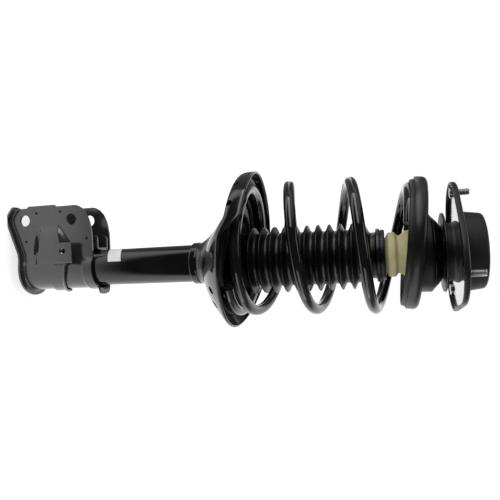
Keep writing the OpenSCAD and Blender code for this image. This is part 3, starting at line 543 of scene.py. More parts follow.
def coilClimb(a, s=springSet):
    low, free, high, blend = s["endPitch"], s["pitch"], s["topPitch"], s["blend"]
    climb = low * (a - s["tip"]) + (free - low) * softRamp(a - s["open"], blend)
    return (climb - (free - high) * softRamp(a - s["close"], blend)) / 360


coilLowZ = springSet["topZ"] - coilClimb(springSet["end"])


def coilPoint(a, s=springSet):
    x, y = polar(mix(s["coilR"], s["endR"], ease(a, *s["draw"])), a)
    low, free, high = s["tilt"]
    tilt = low + (free - low) * ease(a, *s["leanOff"]) + (high - free) * ease(a, *s["leanOn"])
    z = coilLowZ + coilClimb(a) + x * tan(radians(tilt))
    return Vector((mix(*s["off"], ease(a, *s["shift"])) + x, y, z))


def makeSpring(s):
    count = int((s["shown"] - s["tip"]) / s["step"])
    rings = []
    for i in range(-1, count + 2):
        a = mix(s["tip"], s["shown"], min(max(i, 0), count) / count)
        along = (coilPoint(a + 0.5) - coilPoint(a - 0.5)).normalized()
        side = along.cross(Vector((0, 0, 1))).normalized()
        up = side.cross(along)
        cutEnd = i < 0 or i > count
        middle = coilPoint(a)
        if i in (0, count):
            middle = middle + along * (1 if i == 0 else -1) * s["chamfer"]
        r = s["wireR"] - (s["chamfer"] if cutEnd else 0)
        spots = [polar(r, 360 * k / s["sides"]) for k in range(s["sides"])]
        rings.append([middle + side * out + up * high for out, high in spots])
    return loft("coilSpring", rings, closed=False)


spring = makeSpring(springSet)
dress(spring, "spring_coat", None, "coil_spring")
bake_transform(spring)
print("spring wound, foot at", round(coilLowZ, 2))

# dust boot: grips the bump stop's waist, then eleven ribs down over the tube
bootSet = dict(
    top=-81, bottom=-262, ribs=11, start=23, pitch=13.35, crest=(39, 41), depth=8,
    wall=1.8, crestW=0.8, valleyW=2.1, crestRound=1.2, valleyRound=2.4, grip=19.3,
    neck=26.8, keep=0.6,
)


def makeBoot(s):
    def side(inset):
        line = []
        for i in range(s["ribs"]):
            z = s["top"] - s["start"] - s["pitch"] * i
            r = mix(*s["crest"], i / (s["ribs"] - 1)) - inset
            reach = s["pitch"] / 2 - s["valleyW"]
            line += [(r - s["depth"], z + reach, s["valleyRound"]), (r, z + s["crestW"], s["crestRound"]),
                     (r, z - s["crestW"], s["crestRound"]), (r - s["depth"], z - reach, s["valleyRound"])]
        return line
    top, grip, neck = s["top"], s["grip"], s["neck"]
    cuff = s["crest"][1] - s["depth"]
    ribTop = top - s["start"] + s["pitch"] / 2
    outside = [
        (grip, top, 0.8), (neck + 2.6, top, 1), (neck + 3, top - 4.4, 0.4), (neck + 2.2, top - 4.8, 0.3),
        (neck + 2.2, top - 5.4, 0.3), (neck + 4.4, top - 5.8, 0.8), (neck + 4.4, top - 9.6, 0.9),
        (neck + 0.6, top - 10.4, 0.8), (neck, ribTop, 2),
    ]
    inside = [(neck - s["wall"], ribTop, 1), (grip + s["wall"] + 4, top - 17.6, 1), (grip, top - 17.6, 0.5)]
    line = outside + side(0) + [(cuff, s["bottom"], 0.6), (cuff - s["wall"], s["bottom"], 0.6)]
    line += side(s["wall"])[::-1] + inside
    return lathe("dustBoot", line, steps=4, sides=120, sharp=60)


boot = dress(makeBoot(bootSet), "boot_rubber", "rod", "dust_boot")
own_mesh(boot)
print("boot moulded")

# bump stop: cream foam with two swellings above the boot
bumpSet = dict(top=-32.55, boot=-81, tip=-136, bore=11.25, big=27.5, waist=19.2)


def makeBumpStop(s):
    big, waist, boot = s["big"], s["waist"], s["boot"]
    foot = waist + 4
    return lathe("bumpStop", [
        (s["bore"], s["top"], 0.5), (big - 2, s["top"], 1), (big, s["top"] - 3, 2), (big, boot + 24, 4),
        (big - 5.5, boot + 16.5, 3), (big - 5.5, boot + 14, 2), (big - 1.5, boot + 11, 2.5),
        (big - 1.5, boot + 4, 2.5), (waist, boot, 1), (waist, boot - 18, 1.5), (foot, boot - 22, 2),
        (foot, boot - 36, 2), (foot - 3, boot - 40, 2), (foot - 2, boot - 44, 2), (foot - 6, s["tip"], 2.5),
        (s["bore"], s["tip"], 0.6),
    ], sharp=60)


dress(makeBumpStop(bumpSet), "urethane", "rod", "bump_stop")
print("bump stop foamed")

# lower seat: collar on the tube, neck, leaning bowl with a high and a low side
seatSet = dict(
    bowlR=96, thick=3, depth=44.5, edge=(2.5, 5.5), rim=(5.5, 21.5, 26.5),
    nearTurn=(-40, 40), off=14, tilt=5, leanBy=0.45,
    collarR=26.4, boreR=23.9, collarH=12, chamfer=0.6,
    collar=[(0, 0.6), (0, 2), (0, 4), (0, 6), (0, 7.6), (-0.2, 8.3), (-0.7, 8.6), (-0.9, 9.2),
               (-0.8, 10.2)],
    step=(74, 9, 60), rise=(180, 270), neck=(0.2, 0.12), climb=(1.5, 2.6),
    drains=[(38, 11), (57, 10), (123, -9.4), (138, -7.8), (315, 9)], drainD=8,
    steps=26, walls=8, sections=160, soften=12, softenNeck=4,
    padR=(64, 80), padGap=0.45, padSections=120, padEnd=350,
)
padZ = coilLowZ - springSet["wireR"] - 0.25  # the wire's lowest line, with a little play


# 1 on the high side, 0 on the low side; the change is wider near the collar
def seatHigh(a, q=1, s=seatSet):
    step, stepHalf, footHalf = s["step"]
    half = mix(footHalf, stepHalf, smooth(q))
    return 1 - ease(a, step - half, step + half) + ease(a, *s["rise"])


# outside of the bowl, from the collar (q 0) to the wall (q 1)
def bowlUnder(q, a, s=seatSet):
    neck, reach = s["neck"]
    lowPower, highPower = s["climb"]
    low = q ** lowPower + neck * smooth(q / reach) * (1 - q) ** 2
    climb = mix(low, 1 - (1 - q) ** highPower, seatHigh(a, q))
    edge = mix(*s["edge"], seatHigh(a))
    return Vector((mix(s["collarR"], s["bowlR"], q), mix(-s["depth"], edge, climb)))


def bowlSlope(q, a):
    return (bowlUnder(min(q + 0.02, 1), a) - bowlUnder(max(q - 0.02, 0), a)).normalized()


def leaned(r, h, q, a, s=seatSet):
    lean = smooth(q / s["leanBy"])
    x, y = polar(r, a)
    return Vector((s["off"] * lean + x, y, padZ + h + lean * x * tan(radians(s["tilt"]))))


def seatSection(a, s):
    foot, half, chamfer = -s["depth"] - s["collarH"], s["thick"] / 2, s["chamfer"]
    lowRim, farRim, nearRim = s["rim"]
    turned = a - 360 if a > 180 else a
    rim = mix(lowRim, mix(farRim, nearRim, ease(turned, *s["nearTurn"])), seatHigh(a))
    edge = mix(*s["edge"], seatHigh(a))
    # outside line from the collar's foot to the rim, softened where it leaves the collar
    line = [(Vector((s["collarR"] + out, foot + up)), 0) for out, up in s["collar"]]
    lock = len(line)
    line += [(bowlUnder(i / s["steps"], a), i / s["steps"]) for i in range(1, s["steps"] + 1)]
    for i in range(1, s["walls"] + 1):
        line.append((Vector((s["bowlR"], mix(edge, rim - half, i / s["walls"]))), 1))
    spots = [p.copy() for p, q in line]
    for turn in range(s["soften"]):
        soft = list(spots)
        for i in range(lock, len(spots) - 1):
            if line[i][1] > 0.3 or turn < s["softenNeck"]:
                soft[i] = spots[i].lerp((spots[i - 1] + spots[i + 1]) / 2, 0.5)
        spots = soft
    last = len(spots) - 1
    slopes = [(spots[min(i + 1, last)] - spots[max(i - 1, 0)]).normalized() for i in range(last + 1)]
    section = [leaned(s["boreR"], foot + chamfer, 0, a), leaned(s["boreR"] + chamfer, foot, 0, a),
               leaned(s["collarR"] - chamfer, foot, 0, a)]
    section += [leaned(p.x, p.y, q, a) for p, (w, q) in zip(spots, line)]
    for k in range(1, 7):  # rolled rim
        out, up = polar(half, 30 * k)
        section.append(leaned(spots[-1].x - half + out, spots[-1].y + up, 1, a))
    for p, d, (w, q) in list(zip(spots, slopes, line))[-2:lock:-1]:
        r = max(p.x - d.y * s["thick"], s["boreR"])
        section.append(leaned(r, p.y + d.x * s["thick"], q, a))
    section.append(leaned(s["boreR"], -s["depth"], 0, a))
    return section


def makeLowerSeat(s):
    turns = [360 * i / s["sections"] for i in range(s["sections"])]
    seat = loft("lowerSpringSeat", [seatSection(a, s) for a in turns], 50)
    pegs = []
    for turn, height in s["drains"]:
        x, y = polar(1, turn)
        z = padZ + height + s["bowlR"] * x * tan(radians(s["tilt"]))
        reach = s["bowlR"] - 6
        pegs.append(peg((s["off"] + reach * x, reach * y, z), (x, y, 0), s["drainD"], 40))
    return cutHoles(seat, pegs, 50)


dress(makeLowerSeat(seatSet), "gloss_black", "tube", "lower_spring_seat")


# rubber under the first coil: climbs with the wire and steps down behind the tip
def makeLowerPad(s):
    tip = springSet["tip"]
    last = s["step"][0] + s["padEnd"]

    def top(a):
        b = a + 360 if a < tip else a
        return springSet["endPitch"] * (min(b, last) - tip) / 360 * (1 - ease(b, last, tip + 360))

    def under(r, a):
        q = (r - s["collarR"]) / (s["bowlR"] - s["collarR"])
        return bowlUnder(q, a).y + s["thick"] / bowlSlope(q, a).x + s["padGap"]
    low, high = s["padR"]
    sections = []
    for i in range(s["padSections"]):
        a = 360 * i / s["padSections"]
        line = [(r, under(r, a), 0) for r in (mix(low, high, k / 4) for k in range(5))]
        line += [(high, top(a), 1.5), (low, top(a), 1.5)]
        sections.append([leaned(p.x, p.y, 1, a) for p in rounded(line, steps=3)])
    return loft("lowerInsulator", sections, 50)


dress(makeLowerPad(seatSet), "mount_rubber", "tube", "lower_insulator")
print("lower seat pressed")

# strut tube, its blank label and the closed base
tubeSet = dict(
    r=23.8, bore=21.2, top=-231, bottom=-556, label=(-429, -410.5), labelTurn=(-4, 72),
    labelLean=8, labelGap=0.22, paper=0.16, baseTop=-552, baseLow=-560,
)


def makeTube(s):
    return lathe("strutTube", [
        (s["bore"], s["bottom"], 0.5), (s["r"], s["bottom"], 0.8), (s["r"], s["top"], 0.8),
        (s["bore"], s["top"], 0.5),
    ], sides=128)


def makeLabel(s):
    grid, outward = [], []
    for i in range(13):
        z = mix(*s["label"], i / 12)
        row = [Vector((*polar(1, mix(*s["labelTurn"], k / 24)), 0)) for k in range(25)]
        drops = [Vector((0, 0, z - s["labelLean"] * (1 - k / 24))) for k in range(25)]
        outward.append(row)
        grid.append([v * (s["r"] + s["labelGap"]) + drop for v, drop in zip(row, drops)])
    return sheet("tubeLabel", grid, outward, s["paper"], nose=0.02)


def makeBase(s):
    low, top, r = s["baseLow"], s["baseTop"], s["bore"] - 0.1
    return lathe("baseCap", [
        (0, low), (8, low, 2), (13.2, low, 1.5), (16, low + 1, 2), (20.6, low + 3.6, 1.2),
        (r, low + 4.5, 0.6), (r, top, 0.3), (0, top),
    ])


dress(makeTube(tubeSet), "gloss_black", "tube", "strut_tube")
dress(makeLabel(tubeSet), "gloss_black", "tube", look="labelPaper")
dress(makeBase(tubeSet), "satin_black", "tube", "base_cap")
print("tube drawn")

# knuckle bracket: one pressed sheet round the tube, with ears, lips and a rib on each ear
bracketSet = dict(
    wrapR=26.7, earY=23.5, merge=1.2, thick=2.8, high=-450, reach=84.5,
    tab=2.4, tabX=(66, 84), tabZ=(-548, -502), tabEdge=4,
    lowLine=[(-1, -554), (24, -557, 8), (71, -574, 9), (84.5, -564, 4), (84.5, -540)],
    highLine=[(-1, -450.5), (46, -450.5, 20), (61, -453, 12), (73, -458, 12), (80, -463.5, 6),
                 (84.5, -472, 4), (84.5, -500)],
    lip=7, lipBend=3, topLip=6.5, topBend=2.4, topTurn=(152, 166, 196, 212),
    band=(15, 2), bandEdge=1.5, bandX=(16, 8),
    ribTip=62, ribMid=-515.5, ribHalf=(22, 11.5), ribRise=(30, 26.5), ribFoot=(3, 15),
    ribFade=47, lowFlank=(-5, 1), flare=0.55, flareGap=3,
    give=0.45, giveX=(36, 30), giveZ=(16, 22),
    pocket=3.6, pocketGap=0.5, pocketHalf=6, pocketX=(17, 27, 32, 56),
    bolts=[(66, -480), (68, -551)], boltD=15,
    dots=[(77, -532.5), (77, -496), (39.5, -550), (39.5, -458)], dotD=3.6,
    faceRows=140, bendRows=5,
)


# outside of an ear: the wrap runs into the flat, with the rib and a hollow beside it
def earHeight(x, z, side, s):
    flat = s["earY"]
    wrap = sqrt(s["wrapR"] ** 2 - x * x) if x < s["wrapR"] else 0
    base = (flat + wrap + sqrt((flat - wrap) ** 2 + s["merge"])) / 2 - 0.02
    along = min(x / s["ribTip"], 1)
    crest, half = mix(*s["ribRise"], along), mix(*s["ribHalf"], along)
    d = z - s["ribMid"]
    flare = s["flare"] * max(s["ribTip"] - x, 4)
    fall = min(max((d - half - s["flareGap"]) / flare, 0), 1)
    across = 1 - (fall + smooth(fall)) / 2 if d >= 0 else 1 - ease(-d - half, *s["lowFlank"])
    # the near rib's flank gives way to the hose nut
    give = s["give"] * ease(d, *s["giveZ"]) * ease(x, *s["giveX"]) if side > 0 else 0
    rise = max(0, crest - base) * across * (1 - give)
    rise *= ease(x, s["ribTip"], s["ribFade"]) * ease(x, *s["ribFoot"])
    away = (-d - half - s["pocketGap"]) / s["pocketHalf"]
    start, full, fading, end = s["pocketX"]
    hollow = s["pocket"] * max(0, 1 - away * away) ** 2 * ease(x, start, full) * ease(x, end, fading)
    return base + rise - hollow


# raised band along the upper edge
def bandRise(x, z, s):
    width, rise = s["band"]
    foot = s["high"] - width
    return rise * ease(z, foot - s["bandEdge"], foot + s["bandEdge"]) * ease(x, *s["bandX"])


def makeBracket(s):
    lowLine, highLine = rounded(s["lowLine"], closed=False), rounded(s["highLine"], closed=False)
    shares = [0, 0.012, 0.03, 0.05] + [mix(0.075, 1, i / 40) for i in range(41)]
    ear = [s["reach"] * (1 - u) for u in shares]
    stations = [(x, 1, None) for x in ear] + [(0, 0, 90 + 180 * i / 44) for i in range(1, 44)]
    stations += [(x, -1, None) for x in reversed(ear)]
    faceRows, bendRows = s["faceRows"], s["bendRows"]
    lip, lipBend = s["lip"], s["lipBend"]
    (tabLow, tabHigh), tabEdge = s["tabZ"], s["tabEdge"]
    lipStart, lipFull, lipFade, lipEnd = s["topTurn"]
    grid, outward = [], []
    for x0, side, turn in stations:
        low, high = heightAt(lowLine, x0), heightAt(highLine, x0)
        topShare = ease(turn, lipStart, lipFull) * ease(turn, lipEnd, lipFade) if turn else 0
        topLip, topBend = s["topLip"] * topShare, s["topBend"] * topShare
        levels = [(low, lip)]
        for k in range(bendRows, 0, -1):
            out, down = polar(lipBend, 90 * k / bendRows)
            levels.append((low + lipBend - down, lipBend - out))
        levels += [(mix(low + lipBend, high - topBend, i / faceRows), 0) for i in range(faceRows + 1)]
        for k in range(1, bendRows + 1):
            out, up = polar(topBend, 90 * k / bendRows)
            levels.append((high - topBend + up, topBend - out))
        levels.append((high, topLip))
        row, away = [], []
        for z, out in levels:
            if side:
                tab = s["tab"] * ease(z, tabLow, tabLow + tabEdge) * ease(z, tabHigh, tabHigh - tabEdge)
                x = x0 + tab * ease(x0, *s["tabX"])
                y = earHeight(x0, z, side, s) + bandRise(x0, z, s) + out
                row.append(Vector((x, side * y, z)))
                away.append(Vector((0, side, 0)))
            else:
                c, d = polar(1, turn)
                r = s["wrapR"] + bandRise(0, z, s) + out
                row.append(Vector((r * c, r * d, z)))
                away.append(Vector((c, d, 0)))
        grid.append(row)
        outward.append(away)
    bracket = sheet("knuckleBracket", grid, outward, s["thick"], 45)
    pegs = [peg((x, 0, z), (0, 1, 0), s["boltD"], 90) for x, z in s["bolts"]]
    for x, z in s["dots"]:
        pegs += [peg((x, side * (s["earY"] + 8), z), (0, 1, 0), s["dotD"], 20.6) for side in (1, -1)]
    return cutHoles(bracket, pegs, 45)


dress(makeBracket(bracketSet), "satin_black", "tube", "knuckle_bracket")
print("bracket pressed")

# gusset: channel between the ears, on the tube
gussetSet = dict(
    web=23.9, reach=47, half=13, thick=2.5, low=-551.2, high=-449, chamfer=5,
    bend=1.8, rows=41,
)


def makeGusset(s):
    web, half, bend, reach = s["web"] + s["thick"], s["half"] - s["thick"], s["bend"], s["reach"]
    path = rounded([(reach, half), (web, half, bend), (web, -half, bend), (reach, -half)], closed=False)
    grid, outward = [], []
    for p in resample(path, 2) + [path[-1]]:
        trim = max(0, p.x - reach + s["chamfer"])
        low, high = s["low"] + trim, s["high"] - 2 * trim
        shares = [i / (s["rows"] - 1) for i in range(s["rows"])]
        grid.append([Vector((p.x, p.y, mix(low, high, u))) for u in shares])
        outward.append([Vector((1, -p.y * 0.1, 0))] * s["rows"])
    return sheet("bracketGusset", grid, outward, s["thick"])


dress(makeGusset(gussetSet), "satin_black", "tube", "bracket_gusset")

# hose bracket: strap round the wrap, leg and square tab with a hole
hoseSet = dict(
    r=29.3, thick=2.5, tabX=(8, 35), tabY=36, tabZ=(-500.5, -473.5), bend=3.5, corner=3,
    strapStart=(-507, -488), strapEnd=(-519, -502.5), strapLead=9, strapTo=192, legY=(27, 35),
    hole=(24, -487), holeD=9, lip=1.6, lipH=3, nutFlats=12.8, nutBore=6.8, nutH=6,
)


def makeHoseBracket(s):
    near, far = s["tabX"]
    corner = s["corner"]
    lead = degrees(acos((near + s["thick"]) / s["r"])) + s["strapLead"]
    foot = Vector(polar(s["r"], lead))
    path = rounded([(far, s["tabY"]), (near, s["tabY"], s["bend"]), (near, foot.y + 2.6, 2.4), tuple(foot)],
                   closed=False)
    fine = resample(path, 1.2)
    tabEnd = len(fine)
    fine += [Vector(polar(s["r"], mix(lead, s["strapTo"], k / 56))) for k in range(57)]
    last = len(fine) - 1
    grid, outward = [], []
    for i, p in enumerate(fine):
        away = fine[min(i + 1, last)] - fine[max(i - 1, 0)]
        normal = Vector((away.y, -away.x, 0)).normalized()
        reach = far - p.x if i < tabEnd else 99
        trim = corner - sqrt(max(0, corner ** 2 - (corner - reach) ** 2)) if reach < corner else 0
        onTab = ease(p.y, *s["legY"]) if i < tabEnd else 0
        along = ease(i, tabEnd, last)
        strap = [mix(a, b, along) for a, b in zip(s["strapStart"], s["strapEnd"])]
        low, high = [mix(a, b, onTab) for a, b in zip(strap, s["tabZ"])]
        low, high = low + trim, high - trim
        row = []
        for k in range(26):
            z = mix(low, high, k / 25)
            lift = s["lip"] * ease(z, high - s["lipH"], high) * (1 - smooth(onTab * 3))
            row.append(Vector((p.x, p.y, z)) + normal * lift)
        grid.append(row)
        outward.append([normal] * len(row))
    bracket = sheet("hoseBracket", grid, outward, s["thick"])
    x, z = s["hole"]
    return cutHoles(bracket, [peg((x, s["tabY"], z), (0, 1, 0), s["holeD"], 20)])


def makeHoseNut(s):
    x, z = s["hole"]
    place = Matrix.Translation((x, s["tabY"] - s["thick"], z)) @ Matrix.Rotation(radians(90), 4, "X")
    return hexNut("hoseNut", place, s["nutFlats"], s["nutBore"], s["nutH"])


dress(makeHoseBracket(hoseSet), "satin_black", "tube", "hose_bracket")
dress(makeHoseNut(hoseSet), "zinc", "tube", "hose_nut")
print("gusset and hose bracket bent")

# upper seat: hat on the rod's shoulder, leaning dish round the last coil
hatSet = dict(
    hatR=44.5, hatTop=-29.5, hatEdge=3.5, hole=8.6, thick=2.8, seatR=76, seatZ=-39.6,
    skirt=14, edge=6, lip=0.8, off=11.4, tilt=6.5, sections=144,
)


def upperPlace(z, s=hatSet):
    return Matrix.Translation((s["off"], 0, z)) @ Matrix.Rotation(radians(-s["tilt"]), 4, "Y")


def makeUpperSeat(s):
    dish = upperPlace(s["seatZ"])
    slope = tan(radians(s["tilt"]))
    hatR, hatTop, hatEdge, t = s["hatR"], s["hatTop"], s["hatEdge"], s["thick"]
    edge, seatR, skirt, lip = s["edge"], s["seatR"], s["skirt"], s["lip"]
    hatLine = [(s["hole"], hatTop - t), (s["hole"], hatTop)]
    hatLine += arc(hatR - hatEdge, hatTop - hatEdge, hatEdge, 90, 0, 6)
    rim = arc(seatR - edge, -edge, edge, 90, 0, 8)
    rim += [(seatR, -skirt + lip), (seatR - lip, -skirt)]
    rim += [(seatR - t + lip, -skirt), (seatR - t, -skirt + lip)]
    rim += arc(seatR - edge, -edge, edge - t, 0, 90, 4)
    sections = []
    for i in range(s["sections"]):
        c, d = polar(1, 360 * i / s["sections"])

        def dishZ(r, depth=0):
            return s["seatZ"] + (r * c - s["off"]) * slope - depth

        def around(line):
            return [Vector((r * c, r * d, z)) for r, z in line]
        wall = max(hatTop - hatEdge - 0.1, dishZ(hatR) + 0.2)
        foot = [(hatR, min(wall, dishZ(hatR) + 2.4)), (hatR + 0.7, dishZ(hatR + 0.7) + 0.8),
                (hatR + 2.4, dishZ(hatR + 2.4))]
        inR = hatR - t
        inside = [(inR + 2, dishZ(inR + 2, t)), (inR, min(hatTop - t - 0.5, dishZ(inR, t) + 2)),
                  (inR, hatTop - t)]
        sections.append(around(hatLine + foot) + [dish @ p for p in around(rim)] + around(inside))
    return loft("upperSpringSeat", sections, 50)


dress(makeUpperSeat(hatSet), "mount_coat", "rod", "upper_spring_seat")

# rubber between the last coil and the dish
padSet = dict(out=73.1, inner=70.3, hole=50, thick=4.1, lip=12)


def makeUpperPad(s):
    lip = -s["thick"] - s["lip"]
    return lathe("upperInsulator", [
        (s["hole"], -0.1, 0.6), (s["out"], -0.1, 0.6), (s["out"], lip + 3, 0.8), (s["out"] - 0.6, lip, 0.9),
        (s["inner"], lip, 0.9), (s["inner"], -s["thick"], 1.2), (s["hole"], -s["thick"], 0.8),
    ], steps=3, sides=144, sharp=50, place=upperPlace(hatSet["seatZ"] - hatSet["thick"]))


dress(makeUpperPad(padSet), "mount_rubber", "rod", "upper_insulator")
print("upper seat pressed")

# top mount
mountSet = dict(
    studR=70, studTurn=-12, studD=7.9, studPitch=1.25, studThread=0.55, studLen=16,
    headD=13, headH=2.6,
    cornerR=48.5, cornerOff=32, plateT=3, plateH=6.5, plateEdge=3.2, flatIn=9, bore=35.1,
    cupBase=45.5, cupTop=42, cupH=25, cupWall=4.5, cupEdge=4, mouth=25,
    neckR=35, neckH=16, reboundR=45, reboundT=2.5, coreR=27.1, coreTop=6.9,
    sealTop=(30, -19.2), sealBase=(42, -29.5), sealBore=12.6,
)


def makePlate(s):
    flatIn, thick = s["flatIn"], s["plateT"]
    line = rounded([
        (0, -s["plateH"], 0.9), (0, 0, s["plateEdge"]), (flatIn, 0), (flatIn, -thick), (thick, -thick, 1.2),
        (thick, -s["plateH"], 0.9),
    ], steps=6)
    flatTop = next(i for i, p in enumerate(line) if p.x > flatIn - 0.1) + 1
    sections = []
    for corner in range(3):
        middle = s["studTurn"] + 120 * corner
        centre = Vector(polar(s["cornerOff"], middle))
        stops = [(Vector(polar(1, middle + mix(-60, 60, k / 40))), centre) for k in range(41)]
        across = Vector(polar(s["cornerOff"], middle + 120))
        stops += [(Vector(polar(1, middle + 60)), centre.lerp(across, k / 14)) for k in range(1, 14)]
        for normal, foot in stops:
            ring = foot + normal * s["cornerR"]
            bore = ring.normalized() * s["bore"]
            section = [Vector((*(ring - normal * p.x), p.y)) for p in line]
            section[flatTop:flatTop] = [Vector((*bore, 0)), Vector((*bore, -thick))]
            sections.append(section)
    plate = loft("mountPlate", sections, 50)
    plate.data.materials.append(finish["mountCoat"])
    plate.data.materials.append(finish["dippedCoat"])
    for face in plate.data.polygons:
        if face.normal.z < -0.6 and abs(face.center.z / mm + thick) < 0.6:
            face.material_index = 1
    return plate


dress(makePlate(mountSet), "mount_coat", "top_mount", "mount_plate")


def makeStuds(s):
    made = []
    under, shank, head = -s["plateT"], s["studD"] / 2 + 0.4, s["headD"] / 2
    corners = [
        (0, under - s["headH"]), (head, under - s["headH"], 0.8), (head, under, 0.3), (shank, under),
        (shank, 0.5, 0.2), (0, 0.5),
    ]
    for i in range(3):
        x, y = polar(s["studR"], s["studTurn"] + 120 * i)
        made.append(threadedRod(f"mountStud{i + 1}", (x, y, 0), s["studD"], s["studPitch"], 0, s["studLen"],
                                s["studThread"]))
        made.append(lathe(f"studHead{i + 1}", corners, sides=48, place=Matrix.Translation((x, y, 0))))
    return made


for i, stud in enumerate(makeStuds(mountSet)):
    dress(stud, "zinc", "top_mount", *(["mount_studs"] if i == 0 else []))


def makeCup(s):
    base, wall, lid = s["cupBase"], s["cupWall"], s["cupH"] - s["cupWall"]
    lidIn = mix(base, s["cupTop"], lid / s["cupH"]) - wall
    return lathe("mountCup", [
        (base - wall, 0.05, 0.3), (base, 0.05, 0.6), (s["cupTop"], s["cupH"], s["cupEdge"]),
        (s["mouth"], s["cupH"], 1.6), (s["mouth"], lid, 0.8), (lidIn, lid, 2),
    ], steps=8, sides=128, sharp=50)


def makeBushing(s):
    cupIn, neck, low = s["cupBase"] - s["cupWall"] - 0.1, s["neckR"], -s["neckH"]
    return lathe("mountBushing", [
        (s["coreR"], low, 0.4), (neck - 1.2, low, 1), (neck - 2.2, low / 2, 6), (neck, -4, 1.5),
        (neck, 0.2, 0.2), (cupIn, 0.2, 0.3), (cupIn - 2.6, 19, 1.5), (s["coreR"], s["coreTop"], 2),
    ], sides=128, sharp=50)


def makeRebound(s):
    top, low, edge = -s["neckH"], -s["neckH"] - s["reboundT"], s["reboundR"]
    return lathe("reboundPlate", [
        (s["coreR"], low, 0.3), (edge, low, 1), (edge, top, 1), (s["coreR"], top, 0.3),
    ], sides=128)


def makeSeal(s):
    (topR, topZ), (baseR, baseZ) = s["sealTop"], s["sealBase"]
    return lathe("seatSeal", [
        (s["sealBore"], baseZ, 0.3), (baseR, baseZ, 0.8), (mix(baseR, topR, 0.45), mix(baseZ, topZ, 0.5), 6),
        (topR, topZ, 1.2), (s["sealBore"], topZ, 0.5),
    ], sides=128, sharp=50)


dress(makeCup(mountSet), "mount_rubber", "top_mount", "mount_cup")
dress(makeBushing(mountSet), "mount_rubber", "top_mount", "mount_bushing")
dress(makeRebound(mountSet), "gloss_black", "top_mount", "rebound_plate", look="mountCoat")
dress(makeSeal(mountSet), "boot_rubber", "rod", "seat_seal")
print("top mount built")

# piston rod with its threaded end, washer and nut
rodSet = dict(
    r=11, low=-338, piston=-298, shoulder=-32.3, neckR=8.5, threadZ=4.8, threadD=13.8,
    threadPitch=1.5, threadH=0.7, end=19, lowR=6,
    nutZ=5, nutFlats=21, nutH=11, flange=25,
)


def makeRod(s):
    low, piston, shoulder, threadZ = s["low"], s["piston"], s["shoulder"], s["threadZ"]
    return lathe("pistonRod", [
        (0, low), (s["lowR"], low, 0.8), (s["lowR"], piston), (s["r"], piston, 0.4), (s["r"], shoulder, 0.5),
        (s["neckR"], shoulder), (s["neckR"], threadZ, 0.6), (0, threadZ),
    ])


def makeRodThread(s):
    return threadedRod("rodThread", (0, 0, 0), s["threadD"], s["threadPitch"], s["threadZ"], s["end"],
                       s["threadH"])


def makeRodNut(s):
    place = Matrix.Translation((0, 0, s["nutZ"]))
    return hexNut("rodNut", place, s["nutFlats"], s["threadD"] + 0.1, s["nutH"], s["flange"])


dress(makeRod(rodSet), "hard_chrome", "rod", "piston_rod")
dress(makeRodThread(rodSet), "zinc", "rod")
dress(makeRodNut(rodSet), "zinc", "rod", "rod_nut")
print("rod and nut made")

# floor, world and lamps
stageSet = dict(
    floorZ=cadBox[0].z - 0.0004, floorSize=60, floorGlow=0.62, floorColour=(0.60, 0.60, 0.60),
    near=(0.12, 0.32), fill=0.80, front=0.02, above=0.6, below=0.25, upperBack=0.15,
    backX=(0.07, 0.18), backY=(-0.12, 0.02), farY=(-1.8, -1.2),
    skyBehind=(-0.75, -0.25), skyBackX=(0.15, 0.45), skyAbove=(0.5, 0.8), skyAboveY=(-0.6, -0.2),
    skyBelow=(-0.8, -0.5),
    lamps=[
        ("topBox", (1.0, 0.55, -0.25), (1.2, 0.5), 5.0),
        ("lowBox", (-1.0, 0.45, -0.25), (1.2, 0.5), 3.0),
        ("endBox", (0.2, 0.1, 1.0), (0.6, 0.6), 1.5),
    ],
    aim=(0, 0, -0.25),
)


# x and y of a place or a direction
def placeAxes(tree, kind, label):
    axes = addNode(tree, "ShaderNodeSeparateXYZ", Vector=addNode(tree, kind).outputs[label])
    return axes.outputs["X"], axes.outputs["Y"]


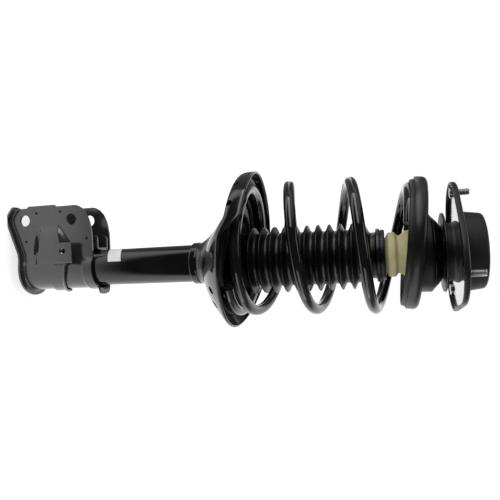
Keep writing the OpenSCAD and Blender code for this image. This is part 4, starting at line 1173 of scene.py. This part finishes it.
def makeFloor(s):
    mesh = bpy.data.meshes.new("floor")
    h, z = s["floorSize"] / 2, s["floorZ"]
    mesh.from_pydata([(-h, -h, z), (h, -h, z), (h, h, z), (-h, h, z)], [], [(0, 1, 2, 3)])
    floor = addObject("floor", mesh)
    material = bpy.data.materials.new("floorPaper")
    material.use_nodes = True
    tree = material.node_tree
    tree.nodes.clear()
    rays = addNode(tree, "ShaderNodeLightPath").outputs
    x, y = placeAxes(tree, "ShaderNodeNewGeometry", "Position")
    near = mapRange(tree, y, *s["near"], 1.0, s["front"])
    # mirrors see the floor darker behind the part's upper side
    back = calc(tree, "MULTIPLY", mapRange(tree, x, *s["backX"], 0.0, 1.0 - s["upperBack"]),
                mapRange(tree, y, *s["backY"], 1.0, 0.0), mapRange(tree, y, *s["farY"], 0.0, 1.0))
    near = calc(tree, "MULTIPLY", near, calc(tree, "SUBTRACT", 1.0, back))
    mirror = calc(tree, "MULTIPLY", rays["Is Glossy Ray"], near)
    lit = calc(tree, "MAXIMUM", rays["Is Camera Ray"], rays["Is Transmission Ray"], mirror)
    glow = addNode(tree, "ShaderNodeEmission", Strength=calc(tree, "MULTIPLY", lit, s["floorGlow"]))
    dim = calc(tree, "MULTIPLY", rays["Is Glossy Ray"], calc(tree, "SUBTRACT", 1.0, near))
    paper = addNode(tree, "ShaderNodeBsdfDiffuse", Color=mixColour(tree, dim, s["floorColour"], (0, 0, 0)))
    both = addNode(tree, "ShaderNodeAddShader")
    for socket, shader in zip(both.inputs, (glow, paper)):
        feed(tree, socket, shader.outputs[0])
    addNode(tree, "ShaderNodeOutputMaterial", Surface=both.outputs[0])
    mesh.materials.append(material)


# white behind the part and to both sides, dark round the camera
def makeWorld(s):
    world = bpy.data.worlds.new("studio")
    scene.world = world
    world.use_nodes = True
    tree = world.node_tree
    back = tree.nodes["Background"]
    back.inputs["Color"].default_value = (1, 1, 1, 1)
    x, y = placeAxes(tree, "ShaderNodeTexCoord", "Generated")
    behind = calc(tree, "MULTIPLY", mapRange(tree, y, *s["skyBehind"], 1.0, s["front"]),
                  mapRange(tree, x, *s["skyBackX"], 1.0, s["upperBack"]))
    above = calc(tree, "MULTIPLY", mapRange(tree, x, *s["skyAbove"], 0.0, s["above"]),
                 mapRange(tree, y, *s["skyAboveY"], s["upperBack"], 1.0))
    below = mapRange(tree, x, *s["skyBelow"], s["below"], s["front"])
    mirror = calc(tree, "MAXIMUM", behind, above, below)
    rays = addNode(tree, "ShaderNodeLightPath").outputs
    plain = calc(tree, "MULTIPLY", rays["Is Diffuse Ray"], s["fill"])
    lit = calc(tree, "ADD", plain, calc(tree, "MULTIPLY", rays["Is Glossy Ray"], mirror))
    lit = calc(tree, "MAXIMUM", lit, rays["Is Camera Ray"], rays["Is Transmission Ray"])
    feed(tree, back.inputs["Strength"], lit)


def makeLamps(s):
    for name, place, size, power in s["lamps"]:
        data = bpy.data.lights.new(name, "AREA")
        data.shape = "RECTANGLE"
        data.size, data.size_y = size
        data.energy = power
        lamp = addObject(name, data)
        lamp.location = place
        lamp.rotation_mode = "QUATERNION"
        lamp.rotation_quaternion = (Vector(s["aim"]) - Vector(place)).to_track_quat("-Z", "Y")


makeFloor(stageSet)
makeWorld(stageSet)
makeLamps(stageSet)
print("stage lit")
